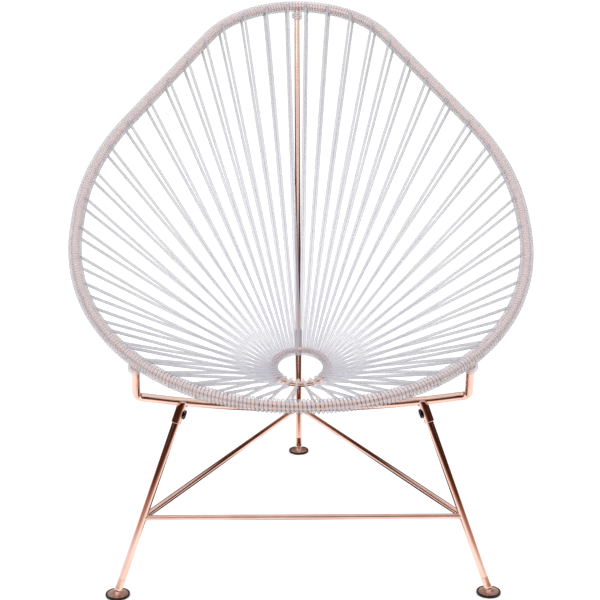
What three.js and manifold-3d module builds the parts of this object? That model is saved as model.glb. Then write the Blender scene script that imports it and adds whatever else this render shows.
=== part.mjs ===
// An acapulco chair: a pear-shaped steel hoop wound with clear vinyl cord, a small ring that the
// cords run down to, an arm bar under the seat, and a three-legged welded base with swivel glides.
// Millimetres, +Z up, the sitter faces -Y. The origin is under the middle of the whole chair.
import * as THREE from 'three';
import { mergeVertices } from 'three/addons/utils/BufferGeometryUtils.js';
import Module from 'manifold-3d';

const wasm = await Module();
wasm.setup();

// Rim hoop: a flat pear lying in one tilted plane, measured on the middle of its rod
const rimRod = 12;
const rimHalfWidth = 362;
const rimFrontDepth = 393; // front lip to where the hoop is widest
const rimFrontPower = 2.15; // above 2, the front lip is flatter than an ellipse
const rimStraight = 20; // straight stretch at the widest place
const rimSideRadius = 576;
const rimTopRadius = 187;
const flankLean = THREE.MathUtils.degToRad(26.6);
const rimTilt = THREE.MathUtils.degToRad(28.2);
const rimFrontHeight = 324.5;
const rimSides = 8;

// Cord and its winding on the rim
const cord = 4.8;
const cordSides = 5;
const wrapGroove = 1.6; // how deep the winding's grooves are
const wrapClearance = 0.5; // between the rod and the bore of the winding
const strandRoot = 1.5; // from the bore of the winding to the middle of a strand's hidden end
const strandLeave = THREE.MathUtils.degToRad(40); // where on the winding the strands come off
const pairSpread = 9; // between the two strands of a pair, at the rim
const backPairs = 18; // pairs from the top joint to an arm joint, on one side
const frontPairs = 6; // pairs from an arm joint to the middle of the lip
const pairsInSector = 3;
const ribsInSector = 5;
const stepsInSector = 4;
const endSpacingShare = 0.47; // spacing of pairs beside a joint, as a share of the widest one
const spacingPower = 2.7; // how sharply the spacing tightens towards the joints
const spacingLeanShare = 0.055; // how much wider it is beside the arm joint than beside the top one
const sectorGap = 0.5;

// Centre ring
const ringRadius = 47.8;
const ringRod = 9.6;
const ringBack = 412.5; // from the front of the hoop to the middle of the ring, along Y
const ringHeight = 246.5;
const ringTilt = THREE.MathUtils.degToRad(19.5);
const ringSteps = 32;
const loopRadius = 9.1; // of a cord's middle as it turns round the ring's rod

// Arm bar: two uprights from the rim, joined by a bar that dips in the middle
const armRod = 13;
const armInset = 116; // from where the hoop is widest in to where an upright meets it
const armHalfSpan = rimHalfWidth - armInset;
const armFlare = 6; // how far the uprights lean out
const armCornerHalf = armHalfSpan + armFlare;
const armBack = 134; // from the front of the hoop to the corners, along Y
const armCornerHeight = 290.9;
const armDip = 21; // how far the middle of the bar lies below its corners
const armDipBack = 12; // and behind them
const armBend = 15;
const armSteps = 40;
const armMouth = 3; // from the middle of the rim's rod to the coped end of an upright
const rodSides = 12;
const weldGap = 0.4;

// Winding over the joints
const topJointHalf = 9;
const armJointHalf = 13;
const jointRibs = 2;
const collarWall = 3.4;
const collarDrop = 20;

// Legs, spine and braces
const frontLegRod = 11.5;
const legInset = 70; // from a corner of the arm bar in to the leg, along the bar
const frontLegTop = armCornerHalf - legInset;
const legSpread = 100; // how much further out the foot stands
const frontFootHalf = frontLegTop + legSpread;
const frontFootBack = 58.5; // from the front of the hoop to the front feet
const rearLegRod = 12;
const rearFootBack = 639.5;
const spineRod = 10;
const rearSocketHeight = 201.5;
const braceRod = 10;
const stretcherRod = 8;
const stretcherHeight = 113.5;
const braceRearHeight = 81.5;

// Sockets and their bolts
const socketLength = 34;
const rearSocketLength = 42;
const socketWall = 1.4;
const slipFit = 0.35; // radial clearance of a leg in its socket, and of a bolt in its hole
const boltShank = 6;
const boltHead = 15;
const boltHeadHeight = 3.2;
const boltHeadCrown = 1.2;
const boltDrop = 18; // from the bar's middle to the bolt, along the leg
const boltTipInset = 0.6;
const boltSides = 16;

// Glides: rubber pad, copper cup, a ball stud, and the ferrule that it holds against the leg's end
const glideSides = 18;
const padRadius = 18.5;
const padFloor = 1.6;
const padRim = 4.2;
const padLip = 2.2;
const padEdge = 0.8;
const seatGap = 0.35;
const cupPlate = 1;
const cupRise = 0.5;
const cupBossRadius = 4.75;
const cupLip = 0.8; // wall round the cavity's mouth
const cupFloor = 0.6; // wall under the cavity
const ballRadius = 3.5;
const ballClearance = 0.35;
const cavityRadius = ballRadius + ballClearance;
const ballHeight = padFloor + seatGap + cupFloor + cavityRadius;
const mouthAngle = THREE.MathUtils.degToRad(64);
const mouthRadius = cavityRadius * Math.sin(mouthAngle) + cupLip;
const mouthHeight = cavityRadius * Math.cos(mouthAngle); // above the ball's middle
const cavitySteps = 6;
const studRod = 3.6;
const studThread = 22; // length inside the leg
const legLift = 20; // from the ball's middle to the end of the leg
const ferruleLift = 1.6; // from the ball's middle to the low end of the ferrule
const ferruleFlare = 0.9; // how much wider the ferrule's radius is than the leg's
const ferruleRound = 1.5;
const ferruleRoom = 0.5; // between the cup's mouth and the ferrule's hollow
const ferruleHollow = Math.hypot(mouthRadius, mouthHeight) + ferruleRoom;
const hollowSteps = 3;
const seamGap = 0.35;

const overrun = 40; // how far a cutting tool runs past what it cuts

const half = 0.5;
const copper = new THREE.Color('#c98a68');
const colours = {
  copper: () => new THREE.MeshStandardMaterial({ color: copper, roughness: 0.16, metalness: 1 }),
  cord: () => new THREE.MeshStandardMaterial({ color: '#d9dade', roughness: 0.2, metalness: 0 }),
  black: () => new THREE.MeshStandardMaterial({ color: '#1b1a1a', roughness: 0.5, metalness: 0 }),
  steel: () => new THREE.MeshStandardMaterial({ color: '#3a302b', roughness: 0.35, metalness: 1 }),
};

const chair = new THREE.Group();

function addPiece(name, geometry, material) {
  const mesh = new THREE.Mesh(geometry, material);
  mesh.name = name;
  chair.add(mesh);
  return mesh;
}

// Booleans
function solidOf(geometry) {
  const bare = geometry.clone();
  bare.deleteAttribute('normal');
  bare.deleteAttribute('uv');
  const merged = mergeVertices(bare, 1e-4);
  return new wasm.Manifold(
    new wasm.Mesh({
      numProp: 3,
      vertProperties: merged.attributes.position.array,
      triVerts: new Uint32Array(merged.index.array),
    }),
  );
}

function geometryOf(solid) {
  const mesh = solid.getMesh();
  const geometry = new THREE.BufferGeometry();
  geometry.setAttribute('position', new THREE.BufferAttribute(mesh.vertProperties, 3));
  geometry.setIndex(new THREE.BufferAttribute(mesh.triVerts, 1));
  geometry.computeVertexNormals();
  return geometry;
}

function cut(geometry, ...tools) {
  return geometryOf(tools.reduce((rest, tool) => rest.subtract(solidOf(tool)), solidOf(geometry)));
}

function join(...geometries) {
  return geometryOf(geometries.map(solidOf).reduce((sum, piece) => sum.add(piece)));
}

// A skin over rings of points, closed on itself or with flat ends. Each ring's points run clockwise
// to someone who looks along the way that the rings advance.
function skinOver(rings, closed) {
  const sides = rings[0].length;
  const points = rings.flat();
  const faces = [];
  const spans = closed ? rings.length : rings.length - 1;
  for (let i = 0; i < spans; i += 1) {
    const next = ((i + 1) % rings.length) * sides;
    for (let j = 0; j < sides; j += 1) {
      const k = (j + 1) % sides;
      faces.push(i * sides + j, next + k, i * sides + k, i * sides + j, next + j, next + k);
    }
  }
  if (!closed) {
    const last = (rings.length - 1) * sides;
    for (let j = 1; j + 1 < sides; j += 1) {
      faces.push(0, j, j + 1, last, last + j + 1, last + j);
    }
  }
  const geometry = new THREE.BufferGeometry().setFromPoints(points);
  geometry.setIndex(faces);
  return geometry;
}

function ringAt(centre, across, up, radius, sides) {
  const ring = [];
  for (let j = 0; j < sides; j += 1) {
    const angle = (j / sides) * Math.PI * 2;
    ring.push(
      centre
        .clone()
        .addScaledVector(across, radius * Math.cos(angle))
        .addScaledVector(up, radius * Math.sin(angle)),
    );
  }
  return ring;
}

// Straight rods and turned pieces between two places
function alongAxis(geometry, from, towards) {
  const direction = towards.clone().sub(from).normalize();
  const turn = new THREE.Quaternion().setFromUnitVectors(new THREE.Vector3(0, 1, 0), direction);
  return geometry.applyQuaternion(turn).translate(from.x, from.y, from.z);
}

function rodBetween(from, to, diameter, sides = rodSides) {
  const length = from.distanceTo(to);
  const rod = new THREE.CylinderGeometry(diameter * half, diameter * half, length, sides, 1);
  rod.translate(0, length * half, 0);
  return alongAxis(rod, from, to);
}

function pointOn(from, to, distance) {
  return from.clone().addScaledVector(to.clone().sub(from).normalize(), distance);
}

function atHeight(from, to, height) {
  return from.clone().lerp(to, (height - from.z) / (to.z - from.z));
}

function rodAlong(path, diameter, steps) {
  const section = new THREE.Shape();
  for (let j = 0; j < rodSides; j += 1) {
    const angle = (j / rodSides) * Math.PI * 2;
    const corner = [diameter * half * Math.cos(angle), diameter * half * Math.sin(angle)];
    if (j === 0) section.moveTo(...corner);
    else section.lineTo(...corner);
  }
  section.closePath();
  return new THREE.ExtrudeGeometry(section, { steps, bevelEnabled: false, extrudePath: path });
}

// Half of the rim's outline in its own plane, from the top to the middle of the front lip.
// x is sideways and y runs up the plane from the lip.
function halfOutline() {
  const waist = rimFrontDepth + rimStraight;
  const lean = flankLean;
  const flankFoot = new THREE.Vector2(
    rimHalfWidth - rimSideRadius * (1 - Math.cos(lean)),
    waist + rimSideRadius * Math.sin(lean),
  );
  const topMiddle = flankFoot.y + (flankFoot.x * Math.cos(lean) - rimTopRadius) / Math.sin(lean);
  const flankTop = new THREE.Vector2(
    rimTopRadius * Math.cos(lean),
    topMiddle + rimTopRadius * Math.sin(lean),
  );
  const outline = new THREE.CurvePath();
  const arc = (x, y, radius, from, to) =>
    new THREE.EllipseCurve(x, y, radius, radius, from, to, true);
  outline.add(arc(0, topMiddle, rimTopRadius, Math.PI / 2, lean));
  outline.add(new THREE.LineCurve(flankTop, flankFoot));
  outline.add(arc(rimHalfWidth - rimSideRadius, waist, rimSideRadius, lean, 0));
  outline.add(
    new THREE.LineCurve(
      new THREE.Vector2(rimHalfWidth, waist),
      new THREE.Vector2(rimHalfWidth, rimFrontDepth),
    ),
  );
  outline.add(frontQuarter());
  return outline;
}

function frontQuarter() {
  const points = [];
  const steps = 24;
  for (let i = 0; i <= steps; i += 1) {
    const angle = (i / steps) * Math.PI * half;
    const across = Math.max(Math.cos(angle), 0) ** (2 / rimFrontPower);
    const along = Math.sin(angle) ** (2 / rimFrontPower);
    points.push(new THREE.Vector2(rimHalfWidth * across, rimFrontDepth * (1 - along)));
  }
  return new THREE.SplineCurve(points);
}

const outline = halfOutline();
const halfLength = outline.getLength();
const rimLength = outline.getPoint(0).y;

// The rim's plane in space
const upPlane = new THREE.Vector3(0, Math.cos(rimTilt), Math.sin(rimTilt));
const offPlane = new THREE.Vector3(0, -Math.sin(rimTilt), Math.cos(rimTilt));
const wrapRadius = rimRod * half + cord;
const hoopDepth = rimLength * Math.cos(rimTilt);
const rimFront = new THREE.Vector3(0, -hoopDepth * half, rimFrontHeight);

function onPlane(x, y) {
  return rimFront.clone().add(new THREE.Vector3(x, 0, 0)).addScaledVector(upPlane, y);
}

// Distance along the rim from the top joint, positive on the +X side
function rimPlace(distance) {
  const flat = outline.getPoint(Math.min(Math.abs(distance) / halfLength, 1));
  return onPlane(Math.sign(distance) * flat.x, flat.y);
}

function distanceAtWidth(width) {
  let near = halfLength - rimFrontDepth;
  let far = halfLength;
  for (let i = 0; i < 40; i += 1) {
    const middle = (near + far) * half;
    if (rimPlace(middle).x > width) near = middle;
    else far = middle;
  }
  return (near + far) * half;
}

const armJoint = distanceAtWidth(armHalfSpan);

// Edges of the cells that hold one pair of strands each, from the top joint to the lip
function cellEdges() {
  const shares = [];
  for (let i = 0; i < backPairs; i += 1) {
    const place = (2 * i + 1) / backPairs - 1;
    const tightened = 1 - (1 - endSpacingShare) * Math.abs(place) ** spacingPower;
    shares.push(tightened * (1 + spacingLeanShare * place));
  }
  const total = shares.reduce((sum, share) => sum + share, 0);
  const edges = [0];
  shares.forEach((share) => edges.push(edges.at(-1) + (armJoint * share) / total));
  for (let i = 1; i <= frontPairs; i += 1) {
    edges.push(armJoint + ((halfLength - armJoint) * i) / frontPairs);
  }
  return edges;
}

const edges = cellEdges();
const pairsInHalf = backPairs + frontPairs;
const sectorsInHalf = pairsInHalf / pairsInSector;

// Places where the rim's rod changes direction, shared by the rod and the bores of the winding
function rimStations() {
  const right = [];
  for (let s = 0; s < sectorsInHalf; s += 1) {
    const from = edges[s * pairsInSector];
    const to = edges[(s + 1) * pairsInSector];
    for (let i = 0; i < stepsInSector; i += 1) right.push(from + ((to - from) * i) / stepsInSector);
  }
  const left = right.slice(1).reverse();
  return [...right, halfLength, ...left.map((distance) => 2 * halfLength - distance)];
}

const stations = rimStations();
const loopLength = 2 * halfLength;

// A point of the loop at a distance from the top, going round by the +X side
function loopPlace(distance) {
  const around = ((distance % loopLength) + loopLength) % loopLength;
  return around <= halfLength ? rimPlace(around) : rimPlace(around - loopLength);
}

const stationPlaces = stations.map(loopPlace);

// The hoop as it is made, in straight steps between the stations
function hoopFrame(distance) {
  const around = ((distance % loopLength) + loopLength) % loopLength;
  let i = stations.findIndex((station) => station > around + 1e-9);
  if (i < 0) i = stations.length;
  const count = stations.length;
  const from = stations[i - 1];
  const to = i < count ? stations[i] : loopLength;
  const share = (around - from) / (to - from);
  const place = (k) => stationPlaces[((k % count) + count) % count];
  const tangent = (k) => place(k + 1).clone().sub(place(k - 1)).normalize();
  const point = place(i - 1).clone().lerp(place(i), share);
  const along = tangent(i - 1).lerp(tangent(i), share).normalize();
  const inward = offPlane.clone().cross(along).negate().normalize();
  return { point, along, inward };
}

function hoopRing(distance, radius) {
  const { point, inward } = hoopFrame(distance);
  return ringAt(point, inward, offPlane, radius, rimSides);
}

function rimRodGeometry(radius) {
  return skinOver(stations.map((distance) => hoopRing(distance, radius)), true);
}

// The hoop's rod with its clearance, over one stretch, to cut what sits on it
function rimCutter(from, to, radius) {
  const inside = [];
  for (let turn = -1; turn <= 1; turn += 1) {
    stations.forEach((station) => inside.push(station + turn * loopLength));
  }
  const places = inside.filter((distance) => distance > from && distance < to);
  return skinOver([from, ...places, to].map((distance) => hoopRing(distance, radius)), false);
}

// Winding on the rim: a ribbed sleeve with a bore
function ribRings(from, to, ribs) {
  const rings = [];
  for (let i = 0; i <= 2 * ribs; i += 1) {
    const radius = i % 2 === 0 ? wrapRadius - wrapGroove : wrapRadius;
    rings.push(hoopRing(from + ((to - from) * i) / (2 * ribs), radius));
  }
  return rings;
}

const boreRadius = rimRod * half + wrapClearance;

function windingOver(from, to, ribs) {
  const bore = stations
    .flatMap((station) => [station - loopLength, station, station + loopLength])
    .filter((distance) => distance > from && distance < to)
    .sort((a, b) => a - b);
  const inner = [from, ...bore, to].map((distance) => hoopRing(distance, boreRadius)).reverse();
  return skinOver([...ribRings(from, to, ribs), ...inner], true);
}

// Strands
const ringMiddle = new THREE.Vector3(0, rimFront.y + ringBack, ringHeight);
const ringUp = new THREE.Vector3(0, Math.cos(ringTilt), Math.sin(ringTilt));
const sideways = new THREE.Vector3(1, 0, 0);

function ringFrame(index, side) {
  const angle = ((index + half) / pairsInHalf) * Math.PI;
  const outward = sideways
    .clone()
    .multiplyScalar(side * Math.sin(angle))
    .addScaledVector(ringUp, Math.cos(angle));
  const along = outward.clone().cross(sideways.clone().cross(ringUp)).normalize();
  return { point: ringMiddle.clone().addScaledVector(outward, ringRadius), along };
}

// The part of a direction that is square to a rod, and the way that looks up from it
function squareTo(rodDirection, direction) {
  const run = direction.clone().addScaledVector(rodDirection, -direction.dot(rodDirection));
  run.normalize();
  const over = offPlane.clone().addScaledVector(rodDirection, -offPlane.dot(rodDirection));
  over.addScaledVector(run, -over.dot(run)).normalize();
  return [run, over];
}

// One loop of cord: from the top of the rim, round the ring's rod and back to the rim's underside
function strandRoute(index, side) {
  const middle = (edges[index] + edges[index + 1]) * half;
  const { point: onRing, along } = ringFrame(index, side);
  const hold = boreRadius + strandRoot;
  const ends = [-1, 1].map((way) => {
    const { point, along: rimAlong } = hoopFrame(side * (middle + way * pairSpread * half));
    const [run, over] = squareTo(rimAlong, onRing.clone().sub(point));
    return point
      .addScaledVector(over, -way * hold * Math.sin(strandLeave))
      .addScaledVector(run, hold * Math.cos(strandLeave));
  });
  const [run, over] = squareTo(along, onRing.clone().sub(hoopFrame(side * middle).point));
  const turns = [0, 1, 2, 3].map((i) => {
    const angle = (i / 3) * Math.PI;
    return onRing
      .clone()
      .addScaledVector(over, loopRadius * Math.cos(angle))
      .addScaledVector(run, loopRadius * Math.sin(angle));
  });
  return { points: [ends[0], ...turns, ends[1]], side: run.clone().cross(over) };
}

function strandGeometry({ points, side }) {
  const rings = points.map((point, i) => {
    const back = points[Math.max(i - 1, 0)];
    const next = points[Math.min(i + 1, points.length - 1)];
    const arrive = point.clone().sub(back).normalize();
    const leave = next.clone().sub(point).normalize();
    const along = arrive.clone().add(leave).normalize();
    const mitre = i > 0 && i + 1 < points.length ? 1 / along.dot(leave) : 1;
    const across = side.clone().addScaledVector(along, -side.dot(along)).normalize();
    const up = across.clone().cross(along).normalize();
    return ringAt(point, across, up.multiplyScalar(mitre), cord * half, cordSides);
  });
  return skinOver(rings, false);
}

function sectorName(number, side) {
  const hand = side > 0 ? 'right' : 'left';
  return `${hand}_cord_sector_${String(number + 1).padStart(2, '0')}`;
}

function sectorGeometry(number, side) {
  const first = number * pairsInSector;
  const startsAtJoint = first === 0 || first === backPairs;
  const endsAtJoint = first + pairsInSector === backPairs;
  const jointHalf = first === 0 ? topJointHalf : armJointHalf;
  const from = edges[first] + (startsAtJoint ? jointHalf : 0) + sectorGap * half;
  const to = edges[first + pairsInSector] - (endsAtJoint ? armJointHalf : 0) - sectorGap * half;
  const span = side > 0 ? [from, to] : [loopLength - to, loopLength - from];
  const pieces = [windingOver(...span, ribsInSector)];
  for (let i = 0; i < pairsInSector; i += 1) {
    pieces.push(strandGeometry(strandRoute(first + i, side)));
  }
  return join(...pieces);
}

for (const side of [1, -1]) {
  for (let number = 0; number < sectorsInHalf; number += 1) {
    addPiece(sectorName(number, side), sectorGeometry(number, side), colours.cord());
  }
}

// How near the loops come to each other at the inside of the ring
const innerGap =
  2 * (ringRadius - loopRadius) * Math.sin(Math.PI / (2 * pairsInHalf)) - cord;
console.log(`least gap between neighbouring loops on the ring: ${innerGap.toFixed(2)} mm`);

// Hoop and ring
addPiece('rim_hoop', rimRodGeometry(rimRod * half), colours.copper());

function centreRing() {
  const ring = new THREE.TorusGeometry(ringRadius, ringRod * half, rimSides, ringSteps);
  const mesh = addPiece('centre_ring', ring, colours.copper());
  mesh.position.copy(ringMiddle);
  mesh.rotation.x = ringTilt;
}
centreRing();

// Arm bar
const armLine = rimFront.y + armBack;
const armJointPlace = hoopFrame(armJoint).point;

function armCorner(side) {
  return new THREE.Vector3(side * armCornerHalf, armLine, armCornerHeight);
}

// The bar's middle line at a distance sideways
function barPlace(x) {
  const dip = 1 - (x / (armCornerHalf - armBend)) ** 2;
  return new THREE.Vector3(x, armLine + armDipBack * dip, armCornerHeight - armDip * dip);
}

function armPath() {
  const corner = armCorner(1);
  const head = pointOn(armJointPlace, corner, armMouth);
  const bendTop = pointOn(corner, head, armBend);
  const barEnd = barPlace(armCornerHalf - armBend);
  const dipped = barEnd.clone().lerp(barPlace(0), 2).setX(0);
  const mirror = (point) => new THREE.Vector3(-point.x, point.y, point.z);
  const path = new THREE.CurvePath();
  path.add(new THREE.LineCurve3(mirror(head), mirror(bendTop)));
  path.add(new THREE.QuadraticBezierCurve3(mirror(bendTop), mirror(corner), mirror(barEnd)));
  path.add(new THREE.QuadraticBezierCurve3(mirror(barEnd), dipped, barEnd));
  path.add(new THREE.QuadraticBezierCurve3(barEnd, corner, bendTop));
  path.add(new THREE.LineCurve3(bendTop, head));
  return path;
}

const weldCutter = rimRod * half + weldGap;
const armReach = armJointHalf + overrun;
addPiece(
  'arm_bar',
  cut(
    rodAlong(armPath(), armRod, armSteps),
    rimCutter(armJoint - armReach, armJoint + armReach, weldCutter),
    rimCutter(-armJoint - armReach, -armJoint + armReach, weldCutter),
  ),
  colours.copper(),
);

// Legs, spine, stretcher and braces
const frontFootLine = rimFront.y + frontFootBack;
const rearFootLine = rimFront.y + rearFootBack;
const rearBall = new THREE.Vector3(0, rearFootLine, ballHeight);
const rimTop = stationPlaces[0].clone();

function frontLegAxis(side) {
  const top = barPlace(side * frontLegTop);
  const ball = new THREE.Vector3(side * frontFootHalf, frontFootLine, ballHeight);
  return { top, ball };
}

const socketCutter = (axisTop, axisLow, diameter, from, to) =>
  rodBetween(pointOn(axisTop, axisLow, from), pointOn(axisTop, axisLow, to), diameter);

const handName = (side) => (side > 0 ? 'right' : 'left');

// A button-head bolt through a socket and the leg in it. outward points away from the leg.
function boltGeometry(middle, outward, socketDiameter) {
  const seat = middle.clone().addScaledVector(outward, socketDiameter * half + seamGap);
  const tip = middle.clone().addScaledVector(outward, boltTipInset - socketDiameter * half);
  const crown = boltHead * half;
  const profile = [
    new THREE.Vector2(0, 0),
    new THREE.Vector2(crown, 0),
    new THREE.Vector2(crown, boltHeadHeight - boltHeadCrown),
    new THREE.Vector2(crown - boltHeadCrown, boltHeadHeight),
    new THREE.Vector2(0, boltHeadHeight),
  ];
  const head = alongAxis(
    new THREE.LatheGeometry(profile, boltSides),
    seat,
    seat.clone().add(outward),
  );
  const insideHead = seat.clone().addScaledVector(outward, boltHeadHeight * half);
  return join(head, rodBetween(tip, insideHead, boltShank));
}

function boltHole(middle, outward) {
  const reach = boltHead + overrun;
  const from = middle.clone().addScaledVector(outward, -reach);
  const to = middle.clone().addScaledVector(outward, reach);
  return rodBetween(from, to, boltShank + 2 * slipFit);
}

function studHole(ball, top) {
  const from = pointOn(ball, top, legLift - overrun);
  const to = pointOn(ball, top, legLift + studThread);
  return rodBetween(from, to, studRod + 2 * slipFit);
}

function frontCorner(side) {
  const { top, ball } = frontLegAxis(side);
  const hand = handName(side);
  const down = ball.clone().sub(top).normalize();
  const bolt = pointOn(top, ball, boltDrop);
  const inward = new THREE.Vector3(-side, 0, 0).addScaledVector(down, side * down.x).normalize();
  const socket = frontLegRod + 2 * (slipFit + socketWall);
  const barTool = rodAlong(armPath(), armRod + 2 * weldGap, armSteps);
  const legTop = pointOn(top, ball, armRod);
  const legEnd = pointOn(ball, top, legLift);
  addPiece(
    `${hand}_leg_socket`,
    cut(
      rodBetween(top, pointOn(top, ball, socketLength), socket),
      socketCutter(top, ball, frontLegRod + 2 * slipFit, -overrun, socketLength + overrun),
      barTool,
      boltHole(bolt, inward),
    ),
    colours.copper(),
  );
  addPiece(
    `front_${hand}_leg`,
    cut(rodBetween(legTop, legEnd, frontLegRod), boltHole(bolt, inward), studHole(ball, top)),
    colours.copper(),
  );
  addPiece(`${hand}_socket_bolt`, boltGeometry(bolt, inward, socket), colours.black());
}

const rearTop = rimTop.clone();
const socketMiddle = atHeight(rearBall, rearTop, rearSocketHeight);

function rearCorner() {
  const upSpine = rearTop.clone().sub(rearBall).normalize();
  const socketTop = socketMiddle.clone().addScaledVector(upSpine, rearSocketLength * half);
  const socketLow = socketMiddle.clone().addScaledVector(upSpine, -rearSocketLength * half);
  const bolt = socketMiddle.clone().addScaledVector(upSpine, -rearSocketLength * half * half);
  const backward = new THREE.Vector3(0, 1, 0).addScaledVector(upSpine, -upSpine.y).normalize();
  const socket = rearLegRod + 2 * (slipFit + socketWall);
  const split = socketMiddle.clone().addScaledVector(upSpine, weldGap);
  const farUp = socketTop.clone().addScaledVector(upSpine, overrun);
  const farDown = socketLow.clone().addScaledVector(upSpine, -overrun);
  addPiece(
    'rear_leg_socket',
    cut(
      rodBetween(socketLow, socketTop, socket),
      rodBetween(socketMiddle, farUp, spineRod + 2 * slipFit),
      rodBetween(farDown, split, rearLegRod + 2 * slipFit),
      boltHole(bolt, backward),
    ),
    colours.copper(),
  );
  addPiece(
    'rear_leg',
    cut(
      rodBetween(pointOn(rearBall, rearTop, legLift), socketMiddle, rearLegRod),
      boltHole(bolt, backward),
      studHole(rearBall, rearTop),
    ),
    colours.copper(),
  );
  addPiece('rear_socket_bolt', boltGeometry(bolt, backward, socket), colours.black());
  const spineReach = topJointHalf + overrun;
  addPiece(
    'back_spine',
    cut(
      rodBetween(split.clone().addScaledVector(upSpine, weldGap), rearTop, spineRod),
      rimCutter(-spineReach, spineReach, weldCutter),
    ),
    colours.copper(),
  );
}

for (const side of [1, -1]) frontCorner(side);
rearCorner();

const legAt = (side, height) => {
  const { top, ball } = frontLegAxis(side);
  return atHeight(ball, top, height);
};

const frontLegTool = (side) => {
  const { top, ball } = frontLegAxis(side);
  return rodBetween(ball, top, frontLegRod + 2 * weldGap);
};

function stretcherLine(diameter) {
  return rodBetween(legAt(-1, stretcherHeight), legAt(1, stretcherHeight), diameter);
}

addPiece(
  'front_stretcher',
  cut(stretcherLine(stretcherRod), frontLegTool(1), frontLegTool(-1)),
  colours.copper(),
);

// A brace stops short of the chair's middle plane, where its twin begins
function middleSlab(side) {
  const depth = 2 * overrun;
  const slab = new THREE.BoxGeometry(overrun, depth, depth);
  const place = atHeight(rearBall, rearTop, braceRearHeight);
  const inner = weldGap * half - overrun * half;
  return slab.translate(side * inner, place.y, place.z);
}

for (const side of [1, -1]) {
  const from = legAt(side, stretcherHeight);
  const to = atHeight(rearBall, rearTop, braceRearHeight);
  addPiece(
    `${handName(side)}_brace`,
    cut(
      rodBetween(from, to, braceRod),
      frontLegTool(side),
      stretcherLine(stretcherRod + 2 * weldGap),
      rodBetween(rearBall, rearTop, rearLegRod + 2 * weldGap),
      middleSlab(side),
    ),
    colours.copper(),
  );
}

// Windings over the joints, each a lump on the rim with a collar round the rod that meets it
function jointWinding(name, distance, jointHalf, rod, towards) {
  const place = hoopFrame(distance).point;
  const from = distance - jointHalf + sectorGap * half;
  const to = distance + jointHalf - sectorGap * half;
  const collar = rodBetween(place, pointOn(place, towards, collarDrop), rod + 2 * collarWall);
  const reach = jointHalf + overrun;
  addPiece(
    name,
    cut(
      join(skinOver(ribRings(from, to, jointRibs), false), collar),
      rimCutter(distance - reach, distance + reach, boreRadius),
      rodBetween(place, pointOn(place, towards, collarDrop + overrun), rod + 2 * wrapClearance),
    ),
    colours.cord(),
  );
}

jointWinding('top_joint_winding', 0, topJointHalf, spineRod, rearBall);
for (const side of [1, -1]) {
  const name = `${handName(side)}_arm_winding`;
  jointWinding(name, side * armJoint, armJointHalf, armRod, armCorner(side));
}

// Glides
function padProfile() {
  return [
    new THREE.Vector2(0, 0),
    new THREE.Vector2(padRadius - padEdge, 0),
    new THREE.Vector2(padRadius, padEdge),
    new THREE.Vector2(padRadius, padRim - padEdge),
    new THREE.Vector2(padRadius - padEdge, padRim),
    new THREE.Vector2(padRadius - padLip, padRim),
    new THREE.Vector2(padRadius - padLip, padFloor),
    new THREE.Vector2(0, padFloor),
  ];
}

// The cup: a plate in the pad, dished up to a boss that holds the ball in a round cavity
function cupProfile() {
  const low = padFloor + seatGap;
  const outer = padRadius - padLip - seatGap;
  const profile = [
    new THREE.Vector2(0, low),
    new THREE.Vector2(outer, low),
    new THREE.Vector2(outer, low + cupPlate + cupRise),
    new THREE.Vector2(outer - cupRise, low + cupPlate + cupRise),
    new THREE.Vector2(cupBossRadius + cupRise, low + cupPlate),
    new THREE.Vector2(cupBossRadius, low + cupPlate + cupRise),
    new THREE.Vector2(mouthRadius, ballHeight + mouthHeight),
  ];
  for (let i = 0; i <= cavitySteps; i += 1) {
    const angle = mouthAngle + ((Math.PI - mouthAngle) * i) / cavitySteps;
    profile.push(
      new THREE.Vector2(
        Math.max(cavityRadius * Math.sin(angle), 0),
        ballHeight + cavityRadius * Math.cos(angle),
      ),
    );
  }
  profile.at(-1).x = 0;
  return profile;
}

function turned(profile) {
  return new THREE.LatheGeometry(profile, glideSides).rotateX(Math.PI / 2);
}

function glide(name, ball, top, legRod) {
  const place = new THREE.Vector3(ball.x, ball.y, 0);
  addPiece(`${name}_glide_pad`, turned(padProfile()), colours.black()).position.copy(place);
  addPiece(`${name}_glide_cup`, turned(cupProfile()), colours.copper()).position.copy(place);
  const ballSolid = new THREE.SphereGeometry(ballRadius, boltSides, boltSides * half);
  ballSolid.translate(ball.x, ball.y, ball.z);
  const studEnd = pointOn(ball, top, legLift + studThread - weldGap);
  addPiece(
    `${name}_ball_stud`,
    join(ballSolid, rodBetween(ball, studEnd, studRod)),
    colours.steel(),
  );
  addPiece(`${name}_foot_ferrule`, ferrule(ball, top, legRod), colours.copper());
}

// A sleeve that flares from the leg's width to a rounded low end, bored for the stud and hollow
// round the ball, so that it clears the cup's mouth at every tilt. Heights are from the ball.
function ferrule(ball, top, legRod) {
  const upper = legRod * half;
  const lower = upper + ferruleFlare;
  const length = legLift - seamGap;
  const bore = studRod * half + slipFit;
  const highAngle = Math.asin(bore / ferruleHollow);
  const lowAngle = Math.acos(ferruleLift / ferruleHollow);
  const round = Math.min(ferruleRound, lower - ferruleHollow * Math.sin(lowAngle));
  const profile = [
    new THREE.Vector2(lower - round, ferruleLift),
    new THREE.Vector2(lower - round * (1 - Math.SQRT1_2), ferruleLift + round * (1 - Math.SQRT1_2)),
    new THREE.Vector2(lower, ferruleLift + round),
    new THREE.Vector2(upper, length),
    new THREE.Vector2(bore, length),
  ];
  for (let i = 0; i <= hollowSteps; i += 1) {
    const angle = highAngle + ((lowAngle - highAngle) * i) / hollowSteps;
    profile.push(new THREE.Vector2(ferruleHollow * Math.sin(angle), ferruleHollow * Math.cos(angle)));
  }
  profile.push(profile[0].clone());
  return alongAxis(new THREE.LatheGeometry(profile, boltSides), ball, top);
}

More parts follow.
